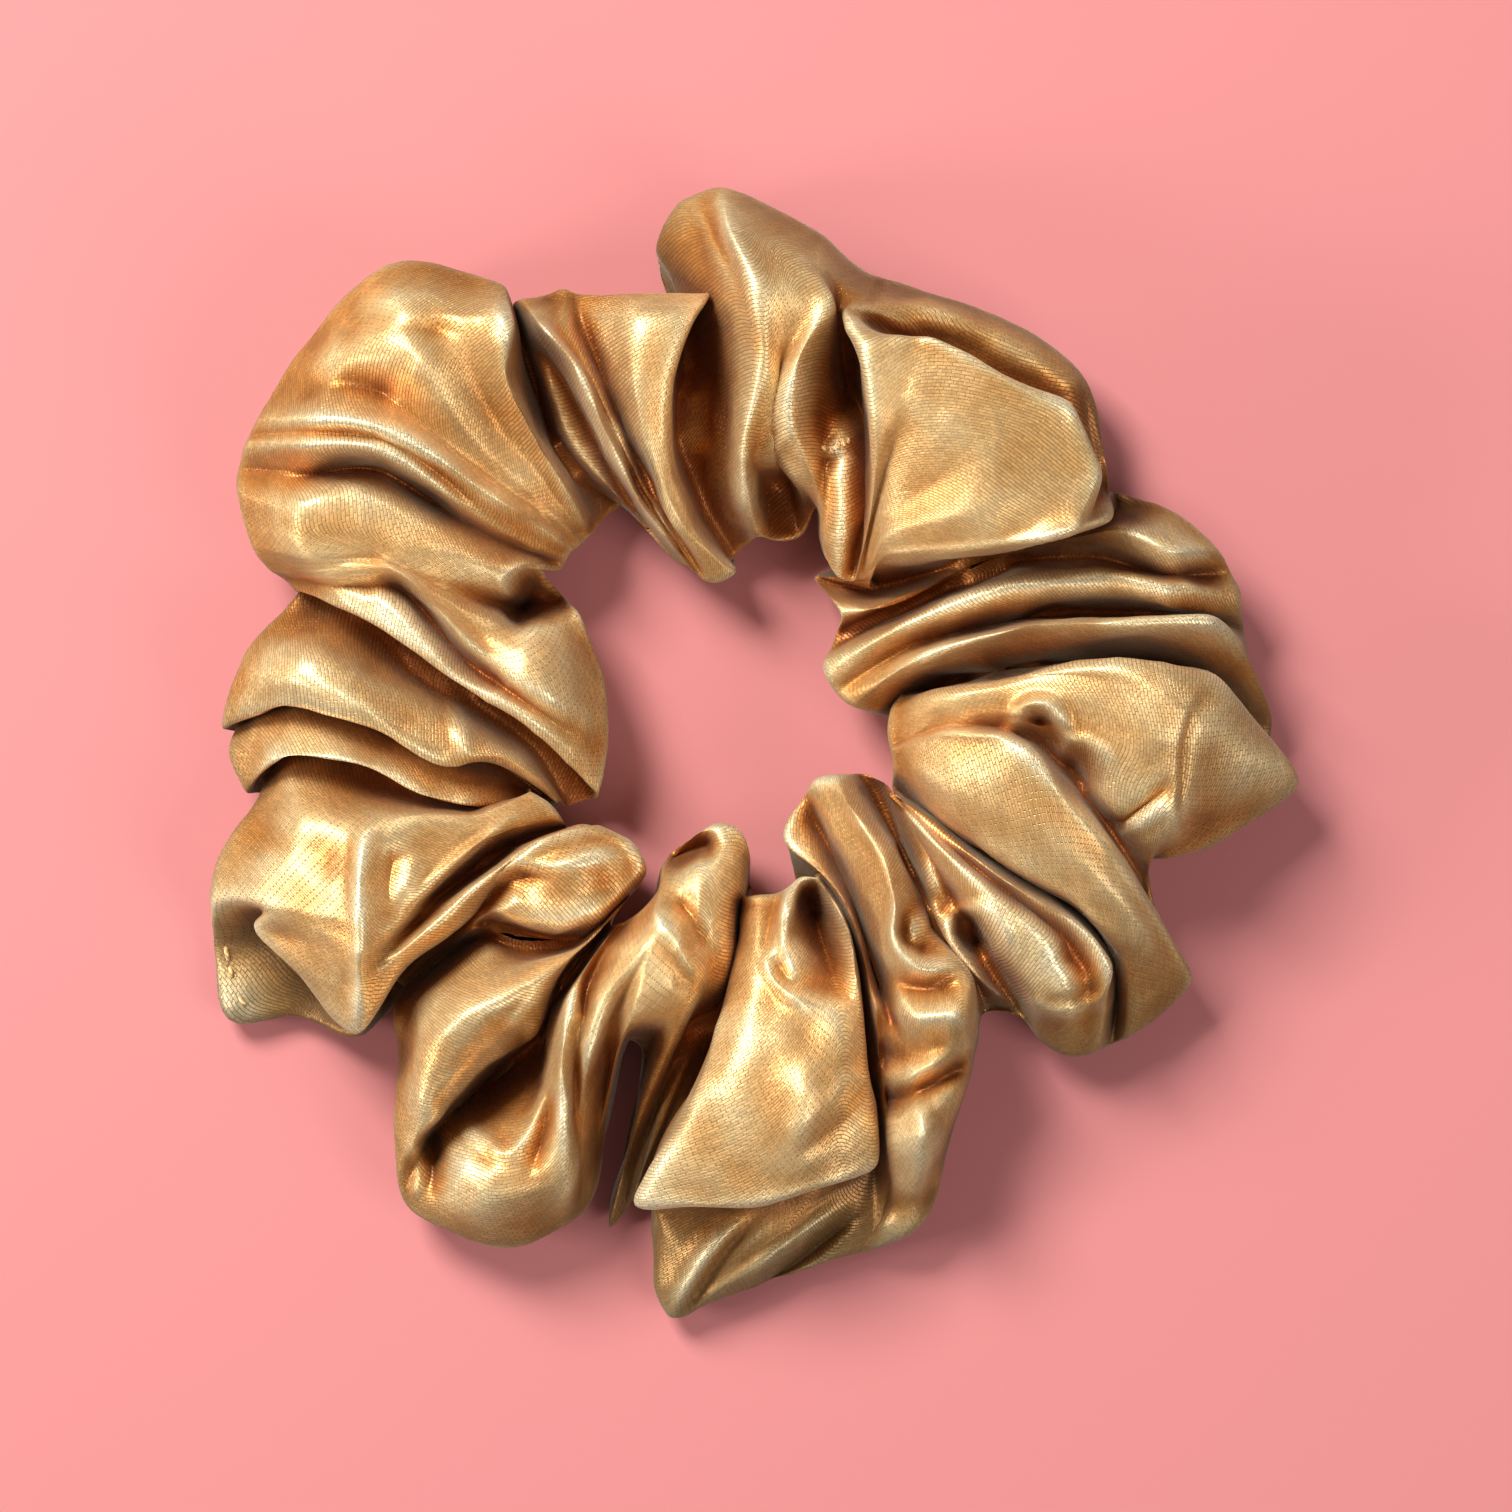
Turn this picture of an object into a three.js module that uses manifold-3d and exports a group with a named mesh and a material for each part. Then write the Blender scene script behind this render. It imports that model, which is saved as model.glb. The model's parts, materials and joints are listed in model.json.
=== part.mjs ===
// A satin scrunchie lying on a table: a flat elastic loop inside a gathered satin sleeve.
// Millimetres, +Z up. The origin is on the table, under the middle of the scrunchie's outline.
//
// The loop stretches, and rigid bodies can't, so the loop and its sleeve are divided into gathers.
// Each gather is a lobe of the sleeve with its own length of elastic and of lengthwise seam. The
// first and the last gather are the two sides of the closing seam, where the sleeve's ends meet.

import * as THREE from "three";
import Module from "manifold-3d";

const wasm = await Module();
wasm.setup();

// ---- Driving dimensions, in millimetres and degrees ----

const LOOP = { x: -3.15, y: 4.22, radius: 30 }; // the relaxed elastic loop's centre line
const ELASTIC = { width: 5, thickness: 1, height: 5.4 }; // height is the band's middle above the table
const CLEARANCE = 0.3; // round every piece that lies inside another
const GATHER_GAP = 0.4; // between one gather's end face and the next one's
const SEAM_THREAD = { size: 0.7, radius: 37, height: 5.4 }; // the lengthwise seam, inside the sleeve
const LAP_LENGTH = 9; // how far the elastic's ends overlap where they are sewn
const CLOSING_THREAD = { size: 0.5, lift: 0.9, inset: 1.1 }; // above the satin, beside the seam
const JOIN_THREAD = { size: 0.4, turns: 6 }; // the zigzag that holds the elastic's ends
const SEAM_ANGLE = 207; // of the closing seam, counter-clockwise from +X
const SECTION_STEP = 6; // degrees between the sections of a gather

// The gathers, counter-clockwise from the closing seam. Each row gives the angle where the gather
// ends, and at its start, middle and end the radius of the inner rim, the radius of the outer edge
// and the height of the crown.
const GATHERS = [
  { end: 219, rim: [13, 14.6, 17.5], edge: [57, 56, 49], crown: [25, 23, 17] },
  { end: 255, rim: [17.5, 15.4, 11.5], edge: [49, 59, 51], crown: [17, 26, 15] },
  { end: 291, rim: [11.5, 9.9, 15.7], edge: [51, 62, 55], crown: [15, 27, 19] },
  { end: 313, rim: [15.7, 11.8, 9.8], edge: [55, 47, 42], crown: [19, 25, 17] },
  { end: 343, rim: [9.8, 10.2, 14.5], edge: [42, 53.6, 47], crown: [17, 28, 20] },
  { end: 366, rim: [14.5, 15.8, 12], edge: [47, 58.2, 54], crown: [20, 28, 19] },
  { end: 388, rim: [12, 10.6, 10.6], edge: [54, 52.5, 45], crown: [19, 25, 20] },
  { end: 422, rim: [10.6, 13.4, 17.5], edge: [45, 48.4, 47.5], crown: [20, 28, 20] },
  { end: 454, rim: [17.5, 16.8, 13], edge: [47.5, 49.6, 53.6], crown: [20, 27, 19] },
  { end: 479, rim: [13, 14.2, 23], edge: [53.6, 44, 50], crown: [19, 24, 18] },
  { end: 525, rim: [23, 19.5, 12.9], edge: [50, 58, 46], crown: [18, 28, 18] },
  { end: 554, rim: [12.9, 11.8, 12.1], edge: [46, 51.2, 52], crown: [18, 26, 18] },
  { end: 567, rim: [12.1, 12.3, 13], edge: [52, 55, 57], crown: [18, 23, 25] },
];

// A gather's outline from its inner rim, round under its flat base, up the outer edge and back over
// the crown: x is the share of the way from rim to edge, y the share of the crown's height.
const OUTLINE = [
  [0, 0.3],
  [0.12, 0],
  [0.86, 0],
  [1, 0.24],
  [0.97, 0.52],
  [0.8, 0.87],
  [0.54, 1],
  [0.27, 0.94],
  [0.06, 0.64],
];

// ---- Materials ----

const satin = new THREE.MeshStandardMaterial({ color: 0xc18a45, roughness: 0.35, metalness: 0.2 });
const braid = new THREE.MeshStandardMaterial({ color: 0xe9e2d2, roughness: 0.85, metalness: 0 });
const thread = new THREE.MeshStandardMaterial({ color: 0xd9a752, roughness: 0.55, metalness: 0 });

// ---- Geometry ----

// The value at share t of a start, middle and end triple, on a smooth curve through all three.
function along([start, middle, end], t) {
  const chord = start + (end - start) * t;
  const bulge = middle - (start + end) / 2;
  return chord + bulge * Math.sin(Math.PI * t) ** 1.2;
}

// A gather's outline in (radius, height), at share t of the way through it.
function outlineOf(gather, t) {
  const rim = along(gather.rim, t);
  const edge = along(gather.edge, t);
  const crown = along(gather.crown, t);
  return OUTLINE.map(([x, y]) => [rim + (edge - rim) * x, crown * y]);
}

// A rectangle in (radius, height), in the same sense of rotation as OUTLINE.
function rectangle(radius, height, thick, tall) {
  const [r0, r1] = [radius - thick / 2, radius + thick / 2];
  const [z0, z1] = [height - tall / 2, height + tall / 2];
  return [
    [r0, z0],
    [r1, z0],
    [r1, z1],
    [r0, z1],
  ];
}

// The point at a radius, angle and height, moved sideways along the loop by shift.
function onLoop(radius, degrees, height, shift = 0) {
  const angle = THREE.MathUtils.degToRad(degrees);
  const [c, s] = [Math.cos(angle), Math.sin(angle)];
  return new THREE.Vector3(LOOP.x + radius * c - shift * s, LOOP.y + radius * s + shift * c, height);
}

// A closed solid that follows the loop from angle start to angle end. sectionAt(t) gives its section
// in (radius, height) at share t, and both end faces are set back by inset, in millimetres.
function loft(start, end, sectionAt, inset) {
  const steps = Math.max(2, Math.ceil((end - start) / SECTION_STEP));
  const points = [];
  const triangles = [];
  for (let j = 0; j <= steps; j++) {
    const t = j / steps;
    const shift = j === 0 ? inset : j === steps ? -inset : 0;
    for (const [radius, height] of sectionAt(t)) {
      points.push(onLoop(radius, start + (end - start) * t, height, shift));
    }
  }
  const n = points.length / (steps + 1);
  for (let j = 0; j < steps; j++) {
    for (let i = 0; i < n; i++) {
      const [a, b] = [j * n + i, j * n + ((i + 1) % n)];
      triangles.push([a, b + n, b], [a, a + n, b + n]);
    }
  }
  const outline = sectionAt(0).map(([x, y]) => new THREE.Vector2(x, y));
  for (const [a, b, c] of THREE.ShapeUtils.triangulateShape(outline, [])) {
    const last = steps * n;
    triangles.push([a, b, c], [last + a, last + c, last + b]);
  }
  return new THREE.BufferGeometry()
    .setAttribute("position", new THREE.Float32BufferAttribute(points.flatMap((p) => p.toArray()), 3))
    .setIndex(triangles.flat());
}

function solidOf(geometry) {
  const vertProperties = new Float32Array(geometry.getAttribute("position").array);
  const triVerts = new Uint32Array(geometry.index.array);
  return new wasm.Manifold(new wasm.Mesh({ numProp: 3, vertProperties, triVerts }));
}

// A geometry with channels cut through it.
function cut(geometry, channels) {
  const mesh = channels.reduce((solid, c) => solid.subtract(solidOf(c)), solidOf(geometry)).getMesh();
  const made = new THREE.BufferGeometry()
    .setAttribute("position", new THREE.BufferAttribute(mesh.vertProperties, 3))
    .setIndex(new THREE.BufferAttribute(mesh.triVerts, 1))
    .toNonIndexed();
  made.computeVertexNormals();
  return made;
}

// A square thread along a smooth path through points.
function threadAlong(points, size) {
  const path = new THREE.CatmullRomCurve3(points, false, "centripetal");
  const half = size / 2;
  const square = new THREE.Shape([
    new THREE.Vector2(-half, -half),
    new THREE.Vector2(half, -half),
    new THREE.Vector2(half, half),
    new THREE.Vector2(-half, half),
  ]);
  return new THREE.ExtrudeGeometry(square, { extrudePath: path, steps: 6 * (points.length - 1) });
}

// ---- The parts ----

const scrunchie = new THREE.Group();

function add(name, geometry, material) {
  const mesh = new THREE.Mesh(geometry, material);
  mesh.name = name;
  scrunchie.add(mesh);
}

const LAP_DEGREES = THREE.MathUtils.radToDeg(LAP_LENGTH / LOOP.radius);
const LAP_RADIUS = LOOP.radius + ELASTIC.thickness + CLEARANCE;
const OVERRUN = 3; // degrees by which a channel passes the solid it is cut through

// The satin sleeve's lobe, with the channels for what runs through it.
function cover(gather, start, isFirst) {
  const room = 2 * CLEARANCE;
  // The lap and its zigzag thread need a deeper channel in the first gather.
  const lapRoom = isFirst ? ELASTIC.thickness + JOIN_THREAD.size + 3 * CLEARANCE : 0;
  const elasticChannel = rectangle(
    LOOP.radius + lapRoom / 2,
    ELASTIC.height,
    ELASTIC.thickness + room + lapRoom,
    ELASTIC.width + room,
  );
  const size = SEAM_THREAD.size + room;
  const seamChannel = rectangle(SEAM_THREAD.radius, SEAM_THREAD.height, size, size);
  const channels = [elasticChannel, seamChannel].map((section) =>
    loft(start - OVERRUN, gather.end + OVERRUN, () => section, 0),
  );
  return cut(loft(start, gather.end, (t) => outlineOf(gather, t), GATHER_GAP / 2), channels);
}

let start = SEAM_ANGLE;
GATHERS.forEach((gather, i) => {
  const number = String(i + 1).padStart(2, "0");
  const band = rectangle(LOOP.radius, ELASTIC.height, ELASTIC.thickness, ELASTIC.width);
  const { radius, height, size } = SEAM_THREAD;
  const seam = rectangle(radius, height, size, size);
  add(`cover_${number}`, cover(gather, start, i === 0), satin);
  add(`elastic_${number}`, loft(start, gather.end, () => band, GATHER_GAP / 2), braid);
  add(`seam_thread_${number}`, loft(start, gather.end, () => seam, GATHER_GAP / 2), thread);
  start = gather.end;
});

// The elastic's far end, lapped over its first length and sewn to it by a zigzag.
const lap = rectangle(LAP_RADIUS, ELASTIC.height, ELASTIC.thickness, ELASTIC.width);
const lapStart = SEAM_ANGLE + LAP_DEGREES / 20;
const lapEnd = lapStart + LAP_DEGREES * 0.6;
add("elastic_end_lap", loft(lapStart, lapEnd, () => lap, 0), braid);

const zigzagRadius = LAP_RADIUS + ELASTIC.thickness / 2 + CLEARANCE + JOIN_THREAD.size / 2;
const zigzag = [];
for (let i = 0; i <= JOIN_THREAD.turns; i++) {
  const t = (i + 0.5) / (JOIN_THREAD.turns + 1);
  const height = ELASTIC.height + ELASTIC.width * (i % 2 ? 0.35 : -0.35);
  zigzag.push(onLoop(zigzagRadius, lapStart + (lapEnd - lapStart) * t, height));
}
add("elastic_join_thread", threadAlong(zigzag, JOIN_THREAD.size), thread);

// The closing seam's thread, over the satin from the inner rim to the outer edge.
const closing = outlineOf(GATHERS[0], 0);
const lifted = closing.map(([r, z], i) => {
  const before = closing.at(i - 1);
  const after = closing[(i + 1) % closing.length];
  const normal = new THREE.Vector2(after[1] - before[1], before[0] - after[0]).normalize();
  const { lift, inset } = CLOSING_THREAD;
  return onLoop(r + normal.x * lift, SEAM_ANGLE, z + normal.y * lift, inset);
});
const OVER_THE_TOP = [3, 4, 5, 6, 7, 8, 0]; // the outline's points from outer edge to inner rim
add(
  "closing_seam_thread",
  threadAlong(
    OVER_THE_TOP.map((i) => lifted[i]),
    CLOSING_THREAD.size,
  ),
  thread,
);

export default scrunchie;
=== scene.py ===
"""Looks of the satin scrunchie: the gathered sleeve, the elastic inside it, and its stitching."""

import json
import math

import bpy
import numpy as np
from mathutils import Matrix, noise

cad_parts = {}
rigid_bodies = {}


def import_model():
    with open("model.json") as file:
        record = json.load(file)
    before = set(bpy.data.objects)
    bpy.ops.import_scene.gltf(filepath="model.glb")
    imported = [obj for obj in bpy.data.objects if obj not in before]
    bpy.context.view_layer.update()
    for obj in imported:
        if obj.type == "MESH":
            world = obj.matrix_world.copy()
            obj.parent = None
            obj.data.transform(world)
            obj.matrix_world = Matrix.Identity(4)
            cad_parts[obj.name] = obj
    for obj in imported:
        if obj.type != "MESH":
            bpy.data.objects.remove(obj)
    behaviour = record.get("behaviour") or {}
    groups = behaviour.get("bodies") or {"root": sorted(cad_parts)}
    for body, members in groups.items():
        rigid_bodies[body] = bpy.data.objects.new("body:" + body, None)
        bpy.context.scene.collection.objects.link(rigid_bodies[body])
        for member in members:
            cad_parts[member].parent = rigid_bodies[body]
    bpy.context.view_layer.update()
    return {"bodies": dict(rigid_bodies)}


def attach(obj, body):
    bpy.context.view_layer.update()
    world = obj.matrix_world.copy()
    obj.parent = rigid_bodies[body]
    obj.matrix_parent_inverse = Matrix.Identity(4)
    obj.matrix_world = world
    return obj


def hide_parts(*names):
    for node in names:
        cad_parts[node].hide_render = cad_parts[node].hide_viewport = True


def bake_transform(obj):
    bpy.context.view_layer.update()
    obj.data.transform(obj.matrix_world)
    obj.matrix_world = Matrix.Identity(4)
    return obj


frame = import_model()

MM = 0.001  # sizes and places below are in millimetres
LOOP_X, LOOP_Y, LOOP_R = -3.15, 4.22, 30.0  # the relaxed elastic's circle
ELASTIC_TOP, ELASTIC_FOOT = 7.9, 2.9  # the elastic band stands on edge between these heights

# ---- The sleeve ----
# The sleeve is a tube of satin. Its fold lines run from the inner rim, round the hair opening, to
# the outer rim. They are listed counter-clockwise from the closing seam. Each row is one line: its
# points over the top, inner rim first, as x y z. Crests, valleys and tucked-under
# lines alternate. A row ending in * is where one gather ends and the next begins. A row that is
# broken after a comma goes on in the next line.
FOLD_LINES = """
-17.3 -6.9 8.5, -23.9 -10 13, -30.5 -15.5 15, -37.5 -22 15.5, -39.6 -28 12.5, -42.2 -26 9.5,
    -41 -23.5 5, -46.5 -26.5 2.5 *
-16.5 -7 8.3, -24.3 -11.6 12, -30 -17.6 13.2, -34.5 -20.8 13, -38 -24 11, -39.8 -28.5 6
-17 -7.6 5, -23.3 -11.5 7.5, -28.3 -16 8.8, -32.5 -18.8 8, -36 -21.5 6.5, -37.8 -23.5 4
-15.5 -7 9, -21.3 -8.3 13.3, -25.3 -11.3 14.3, -29 -14.8 12.5, -32.5 -17.8 9.5, -36.3 -22.8 5
-13.8 -7.9 9.3, -19.5 -9.6 13.6, -24 -11.8 13.2, -28 -15.2 11.5, -32 -18.5 8.5, -36 -23 4.8
-12 -9.1 9.8, -17.5 -11.5 15.3, -22.5 -13.8 15, -26.3 -15.5 13, -31 -18.8 9, -35.7 -23.3 4.8
-11 -11.2 9.5, -15.3 -15.3 13.8, -20.2 -17.8 13.3, -24.5 -16.6 12.8, -29.5 -18.2 10, -35.5 -23.5 4.8
-12.5 -13.8 6, -17 -18.2 9.5, -22 -18.5 8.8, -26.5 -17.9 7, -30.5 -19.5 6, -35.8 -24 4.3
-12.8 -14 7, -18.3 -19 11.5, -23.5 -20 11.5, -27 -18.6 11, -30.5 -20.3 9.5, -36 -24.3 5
-12.5 -13.9 9, -17.8 -18.9 13.3, -23.5 -21 14.5, -28.5 -22.3 14.3, -32.8 -24 12, -36.5 -25.2 7
-12.8 -14.2 9.6, -18.6 -20.3 14.8, -24.3 -23.7 17, -29.5 -26.3 17, -33.3 -29 14, -36 -31 7.5
-13.2 -14.6 9, -19.2 -21.8 13, -22.8 -27.5 14.5, -28.3 -32 14, -33 -37 12.5, -36.4 -41 7
-13.6 -15.1 7.5, -19.8 -23.3 9, -22.5 -29 8.8, -27.3 -33 8, -32.3 -38 7.5, -35.3 -45 6
-14 -15.6 6.5, -20.3 -24.5 6.5, -22.3 -31 8.6, -26.5 -36 9, -29.5 -40.5 12, -33.5 -46.7 6 *
-14.4 -16.2 7, -20.6 -25.5 8, -21.8 -32.5 9.5, -24.8 -38.5 12, -26.5 -43.5 13, -28.5 -49 6
-14.4 -16.8 8.5, -20 -24.8 11.5, -20.6 -32 12.5, -21.5 -38.5 13, -22.5 -43.5 12.5, -24 -49.4 5.5
-13.8 -16.6 10, -18 -23 16, -19.2 -30 16.5, -18.9 -37 14.5, -18.6 -42.5 11.5, -19.3 -47.6 5
-13 -16.4 9.7, -16.7 -22.5 14.3, -17.7 -28.8 14, -18 -35 11.5, -17.8 -40.5 9, -17.6 -46.3 4
-11.5 -15.3 10.3, -14.9 -22.3 16, -16.2 -28.3 15.3, -17 -32.4 13, -17.1 -38 9, -17 -45.5 4
-9.8 -13.2 10.3, -12.2 -20.5 17, -14.8 -26.8 13.5, -15.3 -33 8, -16 -38.5 6.5, -16.1 -43 4
-9.2 -10.8 9.3, -9.8 -17.5 16.8, -11.5 -23.5 17, -12.5 -26.7 15, -12.8 -28 10, -12.8 -28.3 5
-7.6 -9 9.5, -7.4 -16.4 16, -8.6 -23 17, -9.3 -26.3 14.5, -10.2 -28 9, -11.3 -29.5 4.5
-5.4 -7.2 9.8, -5.6 -16 15.6, -6.3 -23.5 15.5, -7.5 -26.8 13, -11 -35 6.5, -14.9 -48 2.5
-3.6 -6.5 9.8, -4 -16 14.6, -5 -23 13.5, -7 -27 9.5, -9.8 -34.5 4, -13.3 -46 2
-1.8 -7.2 9.3, -2.7 -15.4 13, -3.2 -22.5 12.5, -5.2 -27.5 8.8, -8.8 -34.5 6, -12.5 -44.8 3.5
-0.7 -9.6 8.5, -1.5 -15 10.5, -2.6 -22.5 10.5, -5 -28.5 7.5, -8.3 -35 4.5, -12 -44.5 3
-0.5 -13 5, -1.2 -17 6.5, -2 -23 8.8, -4.5 -29.5 6, -7.5 -36 4, -11 -43.5 3
-1.3 -14 8.5, -1.7 -19 11.5, -3.7 -26.8 14, -6.3 -34.5 15, -10 -41 13, -12.3 -44.9 10.5,
    -11 -44.2 7, -10 -47 5, -10.3 -50 3 *
0.3 -13.9 9, 0 -19 13, -0.8 -26.5 16, -2.3 -34 17, -3.8 -40.5 15.5, -5.5 -45.2 12,
    -5.3 -43.9 8, -8 -50 5.8, -10 -54.5 3
2.2 -13.7 9, 2 -20 13.5, 2.5 -27 16.5, 2 -34 17.5, 1.2 -40.3 15.7, 0.5 -44.8 12.3,
    0.3 -43.4 8.3, -4 -50 7.3, -8.5 -57 3
3.3 -13 9.8, 3.1 -18.5 14.5, 5 -27 16, 5 -33.5 18, 4.7 -39.5 16, 5 -43.7 12, 4.4 -42.4 8,
    0 -48.6 6.8, -5 -55.5 3
4.6 -12 9.8, 6.1 -16.8 7.3, 8.3 -26 15.3, 8.5 -33 16, 8 -38.8 14.5, 8.8 -42.4 11.5,
    7.8 -41.2 8, 3 -47.5 6.3, -1 -54 3
5.9 -11.9 9.6, 9.2 -17.3 14, 10.7 -26.5 13.5, 11.3 -32.5 13.5, 11.9 -37.5 12.3, 11.9 -41 10.5,
    10.8 -40.2 7.8, 6 -45.8 6, 3 -52.6 3
6.1 -11.8 5.5, 8.9 -16 6.5, 10.7 -25.5 9, 11.2 -31.5 9, 12 -38 7, 11 -45 5, 6 -51.5 3
6.3 -11.3 9, 9.8 -16.6 11.5, 11.6 -25 12.5, 12.3 -31 11.5, 13 -38 10, 12.5 -47 5, 10 -50 2.5
2.6 -8 8, 8.3 -13 10.5, 11.8 -22.5 11.5, 13.2 -30 12.5, 14.5 -38 12.5, 13.5 -49 5
4.7 -3.9 7, 9.3 -13 8, 12.2 -23 9.3, 15 -30 14.5, 16.5 -38 14.5, 15.5 -48.3 5.5
6 -2.3 9, 10.3 -12 12, 14 -23 15, 17.5 -30 16, 18.2 -37.5 13, 18 -45 6 *
7.8 -1.9 10, 12.5 -10.8 14.5, 15.5 -20.2 15.5, 20 -25 16.5, 21 -31 13, 20.2 -36 7
9 -1.7 8.5, 13.3 -8.7 12, 17 -17 11.5, 21.5 -22.5 14.5, 22 -27.5 12, 22.3 -28.5 7
10.5 -1.5 5.5, 14.3 -8.5 7, 18.5 -17.5 8.8, 21.8 -22 8, 23 -25 6, 23.2 -26 4
12.9 -2.6 7.5, 16.6 -9.3 11.5, 18.6 -17.3 13, 22.3 -22.3 12, 25.2 -25 9, 25.8 -26 6
13 -2.9 7.6, 17 -9 12, 20.8 -16.8 10.5, 23.8 -22 9, 26 -25 7, 26.8 -26.5 5
13.1 -3.2 8, 17.5 -9 13.5, 22.8 -16.3 14.5, 26.5 -21 14, 28 -24.5 12, 28.5 -28.3 5
13.2 -3.5 8.5, 18 -8.7 14.5, 24 -14 16.5, 29.5 -18.8 15.5, 31 -23.5 13.5, 31 -30.2 5 *
13.4 -3.6 8, 18.5 -8.5 12, 25 -13.6 13.5, 31 -18.5 13, 33.3 -22.5 12.5, 32.5 -30.4 5
13.6 -3.6 8.5, 19.5 -8.4 13, 26 -13.2 15.5, 32 -17 15.5, 35.2 -21 14, 34 -30 5
13.6 -3 4.5, 19.8 -7.3 6.5, 26 -11.2 9, 32.5 -15.5 8, 36 -20.5 6, 35.8 -29.3 3
13.6 -1.5 8.5, 19.5 -6.8 14, 25.5 -11.2 16.5, 32 -15 16, 36.2 -20.3 12, 37.5 -28.3 5
13.5 -0.3 9, 19 -3.2 17, 26.5 -6.5 20, 33 -11.5 19, 38.5 -17.5 14.5, 41 -25.8 5
13.3 0.3 9.5, 19.5 2 17.5, 26.8 0.5 21, 33 -6.8 19, 39 -14.7 14, 43.8 -22.5 6
13.2 1 9, 20 2.8 16, 27.5 1.7 15.5, 33.2 -4.6 14.5, 38.5 -12.3 10, 40.5 -17.5 4
13 1.6 9, 20.5 3.5 16.5, 28.7 2.8 17.3, 35 -4.2 17.3, 39.5 -9 14.5, 39 -10.8 8 *
12.9 2.6 9, 20.5 4.3 16.8, 30.5 3.5 19, 37.5 -1.5 19, 41.5 -6.5 16.5, 41.5 -10.3 9
13 3.8 9, 20 5.2 16.8, 31 6 19.5, 38.5 3 20.5, 42.5 0 19, 49 -7.2 7
13.3 5 9, 19.5 6 16.5, 31 8 19, 39 6.5 20.5, 43.5 4.5 19.5, 54.9 -3 6
14.3 6.2 8.8, 19 6.7 15, 26 8 17.5, 36 9.6 19, 45 7.8 17, 53.3 -0.8 7
14.5 6.4 5, 19.5 6.9 8, 27 9 9, 37 9.5 9, 45 8 8, 52 1 4
12.3 4.4 8, 17 7.8 12, 26 9.8 13, 36 10.9 13.5, 44 10 12, 52.2 4 5
9.5 5 9, 16 9.5 14.5, 26.5 12.8 17, 36 13.2 17.5, 45.5 13.3 15, 49.7 9 7
7.8 6.5 8.5, 15.5 11 12.5, 26.5 13.6 11, 36 14.2 9.5, 44 14.3 8, 49 13 4
7.2 7.5 9, 15 12.3 14, 26.5 15.6 15, 35.5 16.3 14.5, 41.5 14.8 13.5, 48.8 14.3 7 *
6.8 8.8 9, 14.5 13 14.3, 26 17.3 15.5, 34.5 18.3 15, 41 16.8 14.5, 48.9 16.3 8
7.5 10.5 6, 14.5 14.2 8, 25.5 19.3 9, 33.8 20 9, 40.5 18.3 11, 48 18.3 8
8 12.3 5.5, 13.5 15.2 8.5, 25.5 20 9.5, 35 21 12, 42 20 15.5, 46.3 20.8 9.5
8.5 14.3 9, 12.5 14.8 11, 25 20.3 10.5, 35.5 22.5 13.5, 39.5 22.3 14.5, 42.4 24 9
5.8 18 5, 11 16.8 6.5, 25 21 9, 34.5 24 9, 36.3 25 7, 36 26.5 5
11.5 17 8.5, 13 19.8 15, 24 20.5 20, 31 21.8 21, 34.5 23.4 18, 35.2 26 10
11.2 17.2 9, 12.8 21.5 16.5, 22.5 24.3 22.5, 34 28 20, 33 27.8 12, 34.5 29 9, 35.2 30 6
10.8 17.3 9.3, 13.3 23.5 17.5, 22 30 23, 31 34.6 20, 28.5 33.5 12.5, 31.5 37 11.5, 33.2 37.3 6 *
10.6 17.3 9.3, 12.8 25 17.5, 19 32.5 23, 24.5 37.5 21, 22.5 36 13, 27 40 13, 28.7 42 6
10.3 17.3 9.3, 12.2 26.5 17.3, 15 35 22.3, 17.3 41.3 20.5, 16.5 40 13.5, 20 43.5 13.5, 20.5 45.5 6.5
9.8 17.2 9.2, 11.5 25 16.8, 11.5 33 21, 10.2 40.2 21.5, 8.8 44 18.5, 12 45.5 14.5, 13 48 7
9.3 17.2 8.5, 11 24.5 12.5, 11 33 11.5, 10.3 38.5 12, 8.5 43.8 17, 10 46.3 15, 11 49 7.5
8.2 17.5 9, 8.8 24 14, 9 31.5 14.5, 9 37 11, 8.2 43.6 16.5, 8 47.5 15.5, 9.3 50.3 8
7.1 19.2 8.5, 6.9 25 12.5, 6.8 31.5 13.5, 7.3 38 14.5, 7.8 44.2 18.3, 6.5 48.5 16.5, 7.5 51.6 8
6.4 23.5 9, 5.5 27.5 13.5, 3.3 33.5 18, 4.2 39 20.5, 7.4 44.8 20, 5 49.5 16.5, 5.8 52.8 8
6.2 24.8 8.5, 3.5 28 13, 0.8 32 14.5, 2.2 38 18, 4.5 44.5 20.3, 2.5 50.5 17, 3.5 54.2 8.5
4.5 22 6, 3.3 27 7, 2 30.2 14, 2.3 38 18.5, 2 45.5 20.5, -0.5 52 17, 0 56 8.5 *
2.2 21.4 7, 0.8 27 7.5, 0 30.4 14.5, 1.2 37.5 19, 0 46 20.8, -3 52.5 17.5, -3.5 57.3 9
0.4 21.8 8, -0.8 25.5 12.5, -1.2 31 16.5, 0.2 38 19, -1.5 46 18.5, -6 56.6 8
-0.8 21.2 5.5, -2.2 25 9, -3 31 11, -3 38 13, -3.5 45.5 14.5, -8 55.3 7
-2 20.3 4.5, -4.5 25 6.5, -6 31 8.8, -6 38 9, -6.5 45.5 10, -10.3 51 5
-2.5 19.5 5, -5.5 24.5 7, -7.5 31 9.2, -7.5 38 9.5, -7.5 44.5 8, -8.6 48 4
-2.2 18.3 8.5, -6.6 23.3 12.5, -8.7 30.5 15.5, -8.4 37.5 17, -6 43.3 17, -4.8 46 13
-3.8 17.3 8, -8 23.3 13.5, -10.8 30.5 16.5, -12 37.5 18, -11.5 43.5 17.5, -11 46 13 *
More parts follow.
